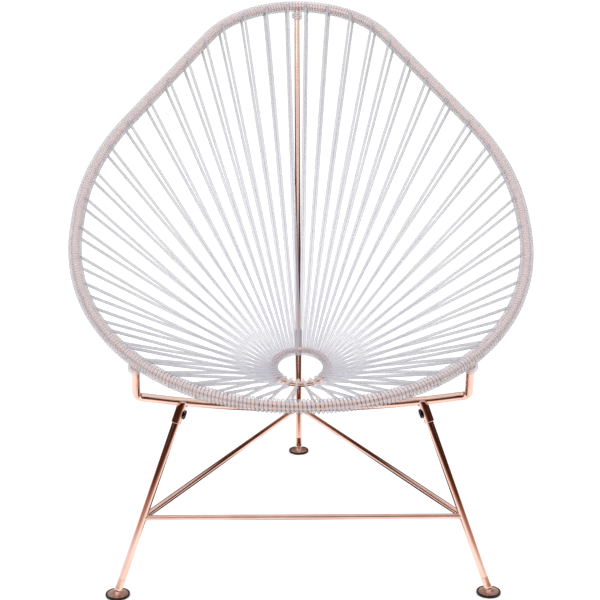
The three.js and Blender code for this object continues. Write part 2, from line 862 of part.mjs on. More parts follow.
for (const side of [1, -1]) {
  const { top, ball } = frontLegAxis(side);
  glide(`front_${handName(side)}`, ball, top, frontLegRod);
}
glide('rear', rearBall, rearTop, rearLegRod);

export default chair;
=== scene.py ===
"""An acapulco chair on a pale studio floor.

A pear-shaped copper-plated hoop is wound all round with clear vinyl cord. Pairs of strands run
down from it to a small ring and make the seat. An arm bar hangs under the lip, and three legs with
swivel glides carry the chair. All lengths are in metres, +Z is up and the sitter faces -Y.
"""

import logging
import math
import random
from dataclasses import dataclass, field
from enum import Enum
from typing import Callable, Iterable, Sequence

import bmesh
import bpy
import numpy as np
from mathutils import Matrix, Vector


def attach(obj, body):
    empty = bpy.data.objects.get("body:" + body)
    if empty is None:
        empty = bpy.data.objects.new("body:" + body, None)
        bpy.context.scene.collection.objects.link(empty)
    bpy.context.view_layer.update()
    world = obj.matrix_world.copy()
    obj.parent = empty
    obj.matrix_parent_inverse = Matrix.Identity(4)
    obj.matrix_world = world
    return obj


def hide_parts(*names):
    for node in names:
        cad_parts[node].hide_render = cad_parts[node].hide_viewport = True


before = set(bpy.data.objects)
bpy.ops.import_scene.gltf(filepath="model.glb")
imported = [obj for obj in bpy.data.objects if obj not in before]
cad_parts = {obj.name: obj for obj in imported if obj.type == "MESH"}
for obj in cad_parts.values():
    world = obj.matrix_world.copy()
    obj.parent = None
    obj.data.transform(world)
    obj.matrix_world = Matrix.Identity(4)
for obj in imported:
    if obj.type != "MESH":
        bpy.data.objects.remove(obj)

Piece = bpy.types.Object
Tree = bpy.types.NodeTree
Node = bpy.types.Node
Socket = bpy.types.NodeSocket
Stops = Sequence[tuple[float, str]]  # places, each with an sRGB hex colour
Outline = list[tuple[float, float]]

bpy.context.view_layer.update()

MM = 0.001
UP = Vector((0.0, 0.0, 1.0))
SIDEWAYS = Vector((1.0, 0.0, 0.0))
WHITE = (1.0, 1.0, 1.0, 1.0)
CHAIR = "chair"
WOUND = "wound"  # mesh attribute: 1 where the cord is wound on a rod, 0 on a free strand
BENT = 0.5  # its value where a strand bends round the ring
CREASE = 35.0  # degrees: an edge sharper than this stays sharp
SWEPT_CREASE = 60.0  # the same on a swept rod, whose section has few sides
MERGE = 0.001 * MM  # points closer than this become one
EDGE_SEGMENTS = 3  # faces across a broken edge
MIX_SHARE, MIX_FIRST, MIX_SECOND = 0, 6, 7  # inputs of a Mix node that mixes colours
MIX_RESULT = 2

log = logging.getLogger("acapulco")


class Slot(Enum):
    """The record's material slots."""

    COPPER = "copper_plating"
    CORD = "clear_cord"
    RUBBER = "black_rubber"
    BOLT = "black_bolt"
    STEEL = "dark_steel"


class Hand(Enum):
    """The sitter's side of the chair, as the sign of X."""

    RIGHT = 1
    LEFT = -1

    @property
    def word(self) -> str:
        """The side as it is written in a node's name."""
        return self.name.lower()


# Materials


def linear(hex_colour: str) -> tuple[float, float, float, float]:
    """Turn an sRGB hex colour into the linear values that a shader takes.

    Args:
        hex_colour: The colour as "#rrggbb".

    Returns:
        Red, green, blue and an alpha of 1, all linear.
    """
    channels = [int(hex_colour[i : i + 2], 16) / 255 for i in (1, 3, 5)]
    values = [c / 12.92 if c <= 0.04045 else ((c + 0.055) / 1.055) ** 2.4 for c in channels]
    return (values[0], values[1], values[2], 1.0)


def add_node(tree: Tree, kind: str, links: dict | None = None, **settings: object) -> Node:
    """Add a shader node, set it up and link it.

    Args:
        tree: The node tree that gets the node.
        kind: Blender's name for the kind of node, without "ShaderNode".
        links: Input name or number to the output socket that feeds it.
        **settings: The node's attributes, or input values where a key is "in_" and the input.

    Returns:
        The new node.
    """
    node = tree.nodes.new(f"ShaderNode{kind}")
    for key, value in settings.items():
        if key.startswith("in_"):
            node.inputs[key[3:].replace("_", " ")].default_value = value
        else:
            setattr(node, key, value)
    for key, socket in (links or {}).items():
        tree.links.new(socket, node.inputs[key])
    return node


def set_stops(ramp: Node, stops: Stops) -> None:
    """Give a colour ramp its stops.

    Args:
        ramp: The colour ramp node.
        stops: Places from 0 to 1, each with an sRGB hex colour.
    """
    elements = ramp.color_ramp.elements
    while len(elements) < len(stops):
        elements.new(0.5)
    for element, (place, colour) in zip(elements, stops):
        element.position = place
        element.color = linear(colour)


def bare_material(name: str) -> tuple[bpy.types.Material, Tree]:
    """Make a material with nothing in its node tree.

    Args:
        name: Its name.

    Returns:
        The material and its node tree.
    """
    material = bpy.data.materials.new(name)
    material.use_nodes = True
    material.node_tree.nodes.clear()
    return material, material.node_tree


@dataclass(frozen=True)
class Finish:
    """A surface finish: what the material is, and the node tree that shows it."""

    label: str

    def make(self) -> bpy.types.Material:
        """Make the material: the finish's own nodes feed one shader.

        Returns:
            The finished material.
        """
        material, tree = bare_material(self.label)
        links, settings = self.skin(tree, add_node(tree, "TexCoord").outputs["Object"])
        shader = add_node(tree, "BsdfPrincipled", links, **settings)
        add_node(tree, "OutputMaterial", {"Surface": shader.outputs[0]})
        return material

    def skin(self, tree: Tree, place: Socket) -> tuple[dict, dict]:
        """Add the finish's own nodes.

        Args:
            tree: The material's node tree.
            place: The point on the piece.

        Returns:
            What feeds the shader's inputs, and the inputs that are the same all over.
        """
        raise NotImplementedError


@dataclass(frozen=True)
class CopperPlating(Finish):
    """Bright copper plated on polished steel rod: a warm mirror with a slight ripple."""

    label: str = "bright_copper_plating"
    tones: Stops = ((0.3, "#EFC6B6"), (0.7, "#F7D4C7"))
    tarnish: float = 45 * MM  # size of the slightly darker patches
    roughness: float = 0.11
    haze: float = 11.25 * MM  # size of the places where the mirror is clearer or duller
    haze_reach: tuple[float, float] = (0.7, 1.35)  # how clear and dull, as shares of the roughness
    ripple: float = 2.2 * MM
    ripple_strength: float = 0.06
    ripple_height: float = 0.3 * MM

    def skin(self, tree: Tree, place: Socket) -> tuple[dict, dict]:
        """Add the copper's patches, haze and ripple.

        Args:
            tree: The material's node tree.
            place: The point on the piece.

        Returns:
            What feeds the shader's inputs, and the inputs that are the same all over.
        """
        at = {"Vector": place}
        patches = add_node(tree, "TexNoise", at, in_Scale=1 / self.tarnish, in_Detail=3.0)
        colour = add_node(tree, "ValToRGB", {"Fac": patches.outputs["Fac"]})
        set_stops(colour, self.tones)
        haze = add_node(tree, "TexNoise", at, in_Scale=1 / self.haze, in_Detail=4.0)
        clear, dull = (self.roughness * share for share in self.haze_reach)
        links = {"Value": haze.outputs["Fac"]}
        rough = add_node(tree, "MapRange", links, in_To_Min=clear, in_To_Max=dull)
        ripple = add_node(tree, "TexNoise", at, in_Scale=1 / self.ripple, in_Detail=2.0)
        settings = {"in_Strength": self.ripple_strength, "in_Distance": self.ripple_height}
        bump = add_node(tree, "Bump", {"Height": ripple.outputs["Fac"]}, **settings)
        links = {
            "Base Color": colour.outputs["Color"],
            "Roughness": rough.outputs["Result"],
            "Normal": bump.outputs["Normal"],
        }
        return links, {"in_Metallic": 1.0}


@dataclass(frozen=True)
class ClearVinyl(Finish):
    """Clear extruded PVC cord: glossy and slightly milky, so that it reads pale grey on white."""

    label: str = "clear_vinyl_cord"
    tones: Stops = ((0.3, "#CACAD0"), (0.7, "#D6D6DB"))
    crowded_painted_light: str = "#E6E5ED"  # painted light where strands crowd at the ring
    wound_painted_tones: Stops = (
        (0.35, "#FAF9FD"),  # square on: stretched clear on a rod, partly painted light
        (0.85, "#A0909E"),  # at its edge: painted refraction of the copper and groove shade
    )
    clearest: tuple[float, float] = (0.5, 0.24)  # opacity of a free and a wound cord, square on
    densest: tuple[float, float] = (0.92, 0.72)  # and at the cord's edges
    roughness: float = 0.12
    refraction: float = 1.53
    clouds: float = 30 * MM
    waves: float = 5 * MM  # length of the soft waves of the extruded skin
    wave_strength: float = 0.05
    wave_height: float = 0.3 * MM

    def skin(self, tree: Tree, place: Socket) -> tuple[dict, dict]:
        """Add the vinyl's colour and opacity, which follow how the cord is wound.

        The colour holds painted refraction and groove shade on a wound cord, and painted light
        where strands crowd at the ring.

        Args:
            tree: The material's node tree.
            place: The point on the piece.

        Returns:
            What feeds the shader's inputs, and the inputs that are the same all over.
        """
        at = {"Vector": place}
        clouds = add_node(tree, "TexNoise", at, in_Scale=1 / self.clouds, in_Detail=3.0)
        free = add_node(tree, "ValToRGB", {"Fac": clouds.outputs["Fac"]})
        set_stops(free, self.tones)
        wound = add_node(tree, "Attribute", attribute_name=WOUND).outputs["Fac"]
        # How much of the painted light near the ring each strand point takes, from its bend mark
        crowd_light_share = add_node(tree, "MapRange", {"Value": wound}, in_From_Max=BENT)
        links = {MIX_SHARE: crowd_light_share.outputs["Result"], MIX_FIRST: free.outputs["Color"]}
        strand = add_node(tree, "Mix", links, data_type="RGBA")
        strand.inputs[MIX_SECOND].default_value = linear(self.crowded_painted_light)
        edge = add_node(tree, "LayerWeight", in_Blend=0.5).outputs["Facing"]
        # Painted refraction and groove shade: a wound cord's edges, as they turn from the view, go
        # copper-brown
        painted_refraction = add_node(tree, "ValToRGB", {"Fac": edge})
        set_stops(painted_refraction, self.wound_painted_tones)
        coiled = add_node(tree, "MapRange", {"Value": wound}, in_From_Min=BENT)
        links = {
            MIX_SHARE: coiled.outputs["Result"],
            MIX_FIRST: strand.outputs[MIX_RESULT],
            MIX_SECOND: painted_refraction.outputs["Color"],
        }
        colour = add_node(tree, "Mix", links, data_type="RGBA")
        limits = {"Value": edge}
        for key, (loose, tight) in (("To Min", self.clearest), ("To Max", self.densest)):
            settings = {"in_From_Max": BENT, "in_To_Min": loose, "in_To_Max": tight}
            limit = add_node(tree, "MapRange", {"Value": wound}, **settings)
            limits[key] = limit.outputs["Result"]
        opacity = add_node(tree, "MapRange", limits)
        waves = add_node(tree, "TexNoise", at, in_Scale=1 / self.waves, in_Detail=1.0)
        settings = {"in_Strength": self.wave_strength, "in_Distance": self.wave_height}
        bump = add_node(tree, "Bump", {"Height": waves.outputs["Fac"]}, **settings)
        links = {
            "Base Color": colour.outputs[MIX_RESULT],
            "Normal": bump.outputs["Normal"],
            "Alpha": opacity.outputs["Result"],
        }
        return links, {"in_Roughness": self.roughness, "in_IOR": self.refraction}


@dataclass(frozen=True)
class MouldedRubber(Finish):
    """Black moulded rubber: matt, with a fine pitted skin and a little floor dust."""

    label: str = "moulded_rubber"
    tones: Stops = ((0.45, "#0D0908"), (0.8, "#1A1412"))
    dust: float = 8 * MM
    pits: float = 0.8 * MM
    pit_strength: float = 0.3
    pit_depth: float = 0.2 * MM
    roughness: float = 0.5
    gloss: float = 0.3

    def skin(self, tree: Tree, place: Socket) -> tuple[dict, dict]:
        """Add the rubber's dust and pits.

        Args:
            tree: The material's node tree.
            place: The point on the piece.

        Returns:
            What feeds the shader's inputs, and the inputs that are the same all over.
        """
        at = {"Vector": place}
        dust = add_node(tree, "TexNoise", at, in_Scale=1 / self.dust, in_Detail=4.0)
        colour = add_node(tree, "ValToRGB", {"Fac": dust.outputs["Fac"]})
        set_stops(colour, self.tones)
        pits = add_node(tree, "TexNoise", at, in_Scale=1 / self.pits, in_Detail=2.0)
        settings = {"in_Strength": self.pit_strength, "in_Distance": self.pit_depth}
        bump = add_node(tree, "Bump", {"Height": pits.outputs["Fac"]}, **settings)
        links = {"Base Color": colour.outputs["Color"], "Normal": bump.outputs["Normal"]}
        return links, {"in_Roughness": self.roughness, "in_Specular_IOR_Level": self.gloss}


@dataclass(frozen=True)
class DarkMetal(Finish):
    """Steel that is blackened or left dark: a turned part with a thin oxide skin."""

    label: str = "dark_turned_steel"
    tones: Stops = ((0.45, "#1E1A19"), (0.75, "#3B332F"))
    metallic: float = 0.6
    roughness: float = 0.32
    wear: float = 3 * MM
    wear_strength: float = 0.1
    wear_depth: float = 0.1 * MM

    def skin(self, tree: Tree, place: Socket) -> tuple[dict, dict]:
        """Add the metal's wear.

        Args:
            tree: The material's node tree.
            place: The point on the piece.

        Returns:
            What feeds the shader's inputs, and the inputs that are the same all over.
        """
        at = {"Vector": place}
        wear = add_node(tree, "TexNoise", at, in_Scale=1 / self.wear, in_Detail=4.0)
        colour = add_node(tree, "ValToRGB", {"Fac": wear.outputs["Fac"]})
        set_stops(colour, self.tones)
        settings = {"in_Strength": self.wear_strength, "in_Distance": self.wear_depth}
        bump = add_node(tree, "Bump", {"Height": wear.outputs["Fac"]}, **settings)
        links = {"Base Color": colour.outputs["Color"], "Normal": bump.outputs["Normal"]}
        return links, {"in_Metallic": self.metallic, "in_Roughness": self.roughness}


@dataclass
class Finishes:
    """The chair's materials, each made once."""

    by_slot: dict[Slot, bpy.types.Material] = field(init=False)
    satin: bpy.types.Material = field(init=False)

    def __post_init__(self) -> None:
        """Make every material."""
        black = ((0.45, "#0F0D0D"), (0.75, "#241F1E"))
        finishes = {
            Slot.COPPER: CopperPlating(),
            Slot.CORD: ClearVinyl(),
            Slot.RUBBER: MouldedRubber(),
            Slot.BOLT: DarkMetal(label="black_oxide", tones=black, metallic=0.3),
            Slot.STEEL: DarkMetal(),
        }
        self.by_slot = {slot: finish.make() for slot, finish in finishes.items()}
        self.satin = CopperPlating(label="satin_copper_plating", roughness=0.36).make()


# Modelling


def deselect_all() -> None:
    """Leave nothing selected, so that the next operator acts on the new piece alone."""
    bpy.ops.object.select_all(action="DESELECT")


def select_only(piece: Piece) -> None:
    """Make a piece the only selected object and the active one.

    Args:
        piece: The piece.
    """
    deselect_all()
    piece.select_set(True)
    bpy.context.view_layer.objects.active = piece


def select_edges(piece: Piece, heights: Sequence[float], slack: float = 1e-5) -> None:
    """In edit mode, select the flat rings of edges at some heights of a piece on its axis.

    Args:
        piece: The piece in edit mode.
        heights: Heights of the rings along Z.
        slack: How far from a height a vertex may lie.
    """
    mesh = bmesh.from_edit_mesh(piece.data)
    bpy.ops.mesh.select_all(action="DESELECT")
    for edge in mesh.edges:
        ends = [v.co.z for v in edge.verts]
        if any(all(abs(z - height) < slack for z in ends) for height in heights):
            edge.select_set(True)
    bmesh.update_edit_mesh(piece.data)


def settle(piece: Piece) -> None:
    """Put an object's place, turn and size in its mesh, which leaves it at the origin."""
    select_only(piece)
    bpy.ops.object.transform_apply(location=True, rotation=True, scale=True)


def stand_along(piece: Piece, base: Vector, direction: Vector) -> None:
    """Turn a piece made on the Z axis to lie along a direction, and settle it there.

    Args:
        piece: The piece, whose base is at the origin.
        base: Where its base goes.
        direction: Where its Z axis points.
    """
    piece.rotation_mode = "QUATERNION"
    piece.rotation_quaternion = direction.to_track_quat("Z", "Y")
    piece.location = base
    settle(piece)


def smooth(piece: Piece, crease: float = CREASE) -> None:
    """Shade a piece smooth, apart from its sharp edges.

    Args:
        piece: The piece.
        crease: Edges sharper than this, in degrees, stay sharp.
    """
    select_only(piece)
    bpy.ops.object.shade_smooth_by_angle(angle=math.radians(crease))


def turned(
    name: str, profile: Outline, base: Vector, direction: Vector, sides: int = 48
) -> Piece:
    """Make a closed turned piece by extruding and resizing a circle ring by ring.

    Args:
        name: The piece's name.
        profile: Radius and height of each ring, from the middle of the low end to the high end.
        base: Where height 0 goes.
        direction: The axis.
        sides: Corners of each ring.

    Returns:
        The piece, with its place in its mesh.
    """
    deselect_all()
    radius, height = profile[0]
    bpy.ops.mesh.primitive_circle_add(
        vertices=sides, radius=radius, fill_type="NGON", location=(0, 0, 0), enter_editmode=True
    )
    bpy.ops.transform.translate(value=(0, 0, height))
    bpy.ops.mesh.select_all(action="SELECT")
    piece = bpy.context.object
    piece.name = name
    for next_radius, next_height in profile[1:]:
        rise = {"value": (0, 0, next_height - height)}
        bpy.ops.mesh.extrude_region_move(TRANSFORM_OT_translate=rise)
        share = next_radius / radius
        bpy.ops.transform.resize(value=(share, share, 1), center_override=(0, 0, 0))
        radius, height = next_radius, next_height
    bpy.ops.mesh.select_all(action="SELECT")
    bpy.ops.mesh.normals_make_consistent(inside=False)
    bpy.ops.object.mode_set(mode="OBJECT")
    stand_along(piece, base, direction)
    smooth(piece)
    return piece


def swept(
    name: str, lines: Iterable[Sequence[Vector]], radius: float, sides: int, closed: bool = False
) -> Piece:
    """Sweep a round section along one or more lines and make it one mesh.

    Args:
        name: The piece's name.
        lines: The middle lines.
        radius: The section's radius.
        sides: The section's corners, an even number.
        closed: Whether each line closes on itself.

    Returns:
        The piece.
    """
    deselect_all()
    bpy.ops.curve.primitive_nurbs_path_add(location=(0, 0, 0))
    piece = bpy.context.object
    piece.name = name
    curve = piece.data
    curve.splines.clear()
    curve.dimensions = "3D"
    curve.twist_mode = "MINIMUM"
    for line in lines:
        spline = curve.splines.new("POLY")
        spline.points.add(len(line) - 1)
        spline.points.foreach_set("co", [value for point in line for value in (*point, 1.0)])
        spline.use_cyclic_u = closed
        spline.use_smooth = True
    curve.bevel_depth = radius
    curve.bevel_resolution = (sides - 4) // 2
    curve.use_fill_caps = not closed
    bpy.ops.object.convert(target="MESH")
    piece = bpy.context.object
    bpy.ops.object.mode_set(mode="EDIT")
    bpy.ops.mesh.select_all(action="SELECT")
    bpy.ops.mesh.remove_doubles(threshold=MERGE)
    bpy.ops.mesh.normals_make_consistent(inside=False)
    bpy.ops.object.mode_set(mode="OBJECT")
    smooth(piece, SWEPT_CREASE)
    return piece


def mark_cord(piece: Piece, measure: Callable[[Vector], float]) -> Piece:
    """Mark each point of a cord piece with how tightly it is wound.

    Args:
        piece: The piece.
        measure: Gives a point's mark.

    Returns:
        The piece.
    """
    values = np.array([measure(v.co) for v in piece.data.vertices], dtype=np.float32)
    piece.data.attributes.new(WOUND, "FLOAT", "POINT").data.foreach_set("value", values)
    return piece


def joined(name: str, pieces: Sequence[Piece]) -> Piece:
    """Join pieces into one object.

    Args:
        name: The joined piece's name.
        pieces: The pieces.

    Returns:
        The joined piece.
    """
    deselect_all()
    for piece in pieces:
        piece.select_set(True)
    bpy.context.view_layer.objects.active = pieces[0]
    bpy.ops.object.join()
    pieces[0].name = name
    return pieces[0]


@dataclass
class Fitter:
    """Dresses each finished piece, sets it on its body and writes it to the log."""

    finishes: Finishes = field(default_factory=Finishes)
    count: int = 0

    def fit(
        self,
        piece: Piece,
        slot: Slot,
        node: str,
        body: str = CHAIR,
        satin: bool = False,
    ) -> None:
        """Give a piece its finish, its body and the node that it stands for.

        Args:
            piece: The finished piece.
            slot: Its material slot.
            node: The CAD node that it replaces.
            body: The body that it rides on.
            satin: Whether its copper was left unpolished.
        """
        piece.data.materials.clear()
        piece.data.materials.append(self.finishes.satin if satin else self.finishes.by_slot[slot])
        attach(piece, body)
        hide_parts(node)
        self.count += 1
        log.info("%s: %d faces on %s", piece.name, len(piece.data.polygons), body)


@dataclass
class Assembly:
    """A group of pieces that the fitter dresses as they are built."""

    fitter: Fitter


# Rods


@dataclass(frozen=True)
class Axis:
    """How a straight round rod lies: two points of its middle line, and its diameter."""

    start: Vector
    end: Vector
    diameter: float


def point_on(start: Vector, end: Vector, distance: float) -> Vector:
    """The point at a distance from start on the way to end."""
    return start + (end - start).normalized() * distance


def at_height(start: Vector, end: Vector, height: float) -> Vector:
    """The point of the line from start to end at a height."""
    return start.lerp(end, (height - start.z) / (end.z - start.z))


def square_to(direction: Vector, axis: Vector) -> Vector:
    """The direction square to an axis that is nearest to a given one."""
    return (direction - axis * direction.dot(axis)).normalized()


def rod(name: str, axis: Axis, edge: float = 0.5 * MM, sides: int = 40) -> Piece:
    """Make a straight round rod with broken edges, from a cylinder.

    Args:
        name: The rod's name.
        axis: From the middle of one end to that of the other.
        edge: Width of the broken edge.
        sides: Corners of its section.

    Returns:
        The rod.
    """
    length = (axis.end - axis.start).length
    deselect_all()
    bpy.ops.mesh.primitive_cylinder_add(
        vertices=sides,
        radius=axis.diameter / 2,
        depth=length,
        location=(0, 0, length / 2),
        enter_editmode=True,
    )
    piece = bpy.context.object
    piece.name = name
    select_edges(piece, [-length / 2, length / 2])
    bpy.ops.mesh.bevel(offset=edge, segments=EDGE_SEGMENTS, affect="EDGES")
    bpy.ops.object.mode_set(mode="OBJECT")
    settle(piece)
    stand_along(piece, axis.start, axis.end - axis.start)
    smooth(piece)
    return piece


@dataclass
class WeldBead:
    """The bead where a rod meets the side of another one."""

    joining: Axis  # starts inside the host
    host: Axis
    radius: float = 1.1 * MM
    sink: float = 0.15  # how far the bead's middle lies off the joining rod, as a share
    ripple: float = 0.12  # how much that changes round the bead
    ripples: int = 11
    steps: int = 36
    sides: int = 8

    def build(self) -> Piece:
        """Lay the bead.

        Returns:
            A closed loop that follows where the two rods meet.
        """
        out = (self.joining.end - self.joining.start).normalized()
        host = (self.host.end - self.host.start).normalized()
        across = out.cross(host).normalized()
        up = across.cross(out).normalized()
        line = []
        for i in range(self.steps):
            angle = math.tau * i / self.steps
            side = across * math.cos(angle) + up * math.sin(angle)
            foot = self.joining.start + side * (self.joining.diameter / 2)
            away = foot - self.host.start
            away -= host * away.dot(host)
            run = out - host * out.dot(host)
            a, b = run.dot(run), 2 * away.dot(run)
            c = away.dot(away) - (self.host.diameter / 2) ** 2
            reach = (-b + math.sqrt(max(b * b - 4 * a * c, 0.0))) / (2 * a)
            ripple = 1 + self.ripple * math.sin(angle * self.ripples)
            line.append(foot + out * reach + side * self.radius * self.sink * ripple)
        return swept("weld", [line], self.radius, self.sides, closed=True)


# The hoop


@dataclass
class Hoop(Assembly):
    """The pear-shaped rim: one round rod, bent flat and laid in a tilted plane."""

    rod: float = 12 * MM
    half_width: float = 362 * MM
    front_depth: float = 393 * MM
    front_power: float = 2.15
    straight: float = 20 * MM
    side_radius: float = 576 * MM
    top_radius: float = 187 * MM
    flank_lean: float = math.radians(26.6)
    tilt: float = math.radians(28.2)
    front_height: float = 324.5 * MM
    arc_points: int = 160  # points that measure each arc of half the outline
    front_points: int = 400
    steps: int = 260  # points of the rod's own middle line
    sides: int = 20

    def __post_init__(self) -> None:
        """Work out the outline, its length and its plane."""
        self.flat = np.array(self.half_outline())
        runs = np.linalg.norm(np.diff(self.flat, axis=0), axis=1)
        self.reach = np.concatenate([[0.0], np.cumsum(runs)])
        self.half_length = float(self.reach[-1])
        self.length = 2 * self.half_length
        self.up = Vector((0, math.cos(self.tilt), math.sin(self.tilt)))
        self.off = Vector((0, -math.sin(self.tilt), math.cos(self.tilt)))
        depth = float(self.flat[0][1]) * math.cos(self.tilt)
        self.front = Vector((0, -depth / 2, self.front_height))

    def half_outline(self) -> Outline:
        """The right half of the outline, flat, from the top to the middle of the lip.

        Returns:
            Points with x sideways and y up the plane from the lip.
        """
        lean, top, side = self.flank_lean, self.top_radius, self.side_radius
        waist = self.front_depth + self.straight
        foot_x = self.half_width - side * (1 - math.cos(lean))
        foot_y = waist + side * math.sin(lean)
        top_y = foot_y + (foot_x * math.cos(lean) - top) / math.sin(lean)
        side_x = self.half_width - side
        points = []
        for angle in np.linspace(math.pi / 2, lean, self.arc_points):
            points.append((top * math.cos(angle), top_y + top * math.sin(angle)))
        for angle in np.linspace(lean, 0, self.arc_points):
            points.append((side_x + side * math.cos(angle), waist + side * math.sin(angle)))
        for angle in np.linspace(0, math.pi / 2, self.front_points):
            across = max(math.cos(angle), 0.0) ** (2 / self.front_power)
            along = math.sin(angle) ** (2 / self.front_power)
            points.append((self.half_width * across, self.front_depth * (1 - along)))
        return points

    def place(self, distance: float) -> Vector:
        """A point of the rod's middle line.

        Args:
            distance: From the top, positive down the right side and negative down the left.

        Returns:
            The point.
        """
        around = (distance + self.half_length) % self.length - self.half_length
        x = float(np.interp(abs(around), self.reach, self.flat[:, 0]))
        y = float(np.interp(abs(around), self.reach, self.flat[:, 1]))
        side = 1.0 if around >= 0 else -1.0
        return self.front + SIDEWAYS * (side * x) + self.up * y

    def along(self, distance: float, step: float = 0.5 * MM) -> Vector:
        """The rod's direction, from the top down the right side and up the left."""
        return (self.place(distance + step) - self.place(distance - step)).normalized()

    def inward(self, distance: float) -> Vector:
        """The direction square to the rod, in the hoop's plane, that points into the seat."""
        return self.along(distance).cross(self.off).normalized()

    def distance_at_width(self, width: float, halvings: int = 40) -> float:
        """Find where the front of the hoop has a given half width.

        Args:
            width: The half width.
            halvings: How often the search halves its stretch.

        Returns:
            Distance from the top.
        """
        near, far = self.half_length - self.front_depth, self.half_length
        for _ in range(halvings):
            middle = (near + far) / 2
            if self.place(middle).x > width:
                near = middle
            else:
                far = middle
        return (near + far) / 2

    def build(self) -> None:
        """Bend the rod to the outline."""
        line = [self.place(self.length * i / self.steps) for i in range(self.steps)]
        hoop = swept("hoop_rod", [line], self.rod / 2, self.sides, closed=True)
        self.fitter.fit(hoop, Slot.COPPER, "rim_hoop", satin=True)


# The cord


@dataclass
class CentreRing(Assembly):
    """The small ring that every loop of cord turns round."""

    hoop: Hoop
    radius: float = 47.8 * MM
    rod: float = 9.6 * MM
    back: float = 412.5 * MM  # from the front of the hoop to the ring's middle, along Y
    height: float = 246.5 * MM
    tilt: float = math.radians(19.5)
    steps: int = 72
    sides: int = 20

    def __post_init__(self) -> None:
        """Find the ring's middle and its plane."""
        self.middle = Vector((0, self.hoop.front.y + self.back, self.height))
        self.up = Vector((0, math.cos(self.tilt), math.sin(self.tilt)))

    def place(self, angle: float, hand: Hand) -> tuple[Vector, Vector]:
        """A point on the ring and the ring's direction there.

        Args:
            angle: From the back of the ring, in radians.
            hand: The side of the chair.

        Returns:
            The point on the rod's middle line, and the direction of the rod.
        """
        outward = SIDEWAYS * (hand.value * math.sin(angle)) + self.up * math.cos(angle)
        normal = SIDEWAYS.cross(self.up)
        return self.middle + outward * self.radius, outward.cross(normal).normalized()

    def build(self) -> None:
        """Bend the ring and weld it closed."""
        line = []
        for i in range(self.steps):
            turn = math.tau * i / self.steps
            right = turn <= math.pi
            angle = turn if right else math.tau - turn
            line.append(self.place(angle, Hand.RIGHT if right else Hand.LEFT)[0])
        ring = swept("ring_rod", [line], self.rod / 2, self.sides, closed=True)
        self.fitter.fit(ring, Slot.COPPER, "centre_ring")


@dataclass
class Pair:
    """The two strands of one loop of cord: where they leave the hoop and turn on the ring."""

    distance: float
    spread: float
    over_foot: Vector
    under_foot: Vector
    over_angle: float
    under_angle: float
    turn: list[Vector]


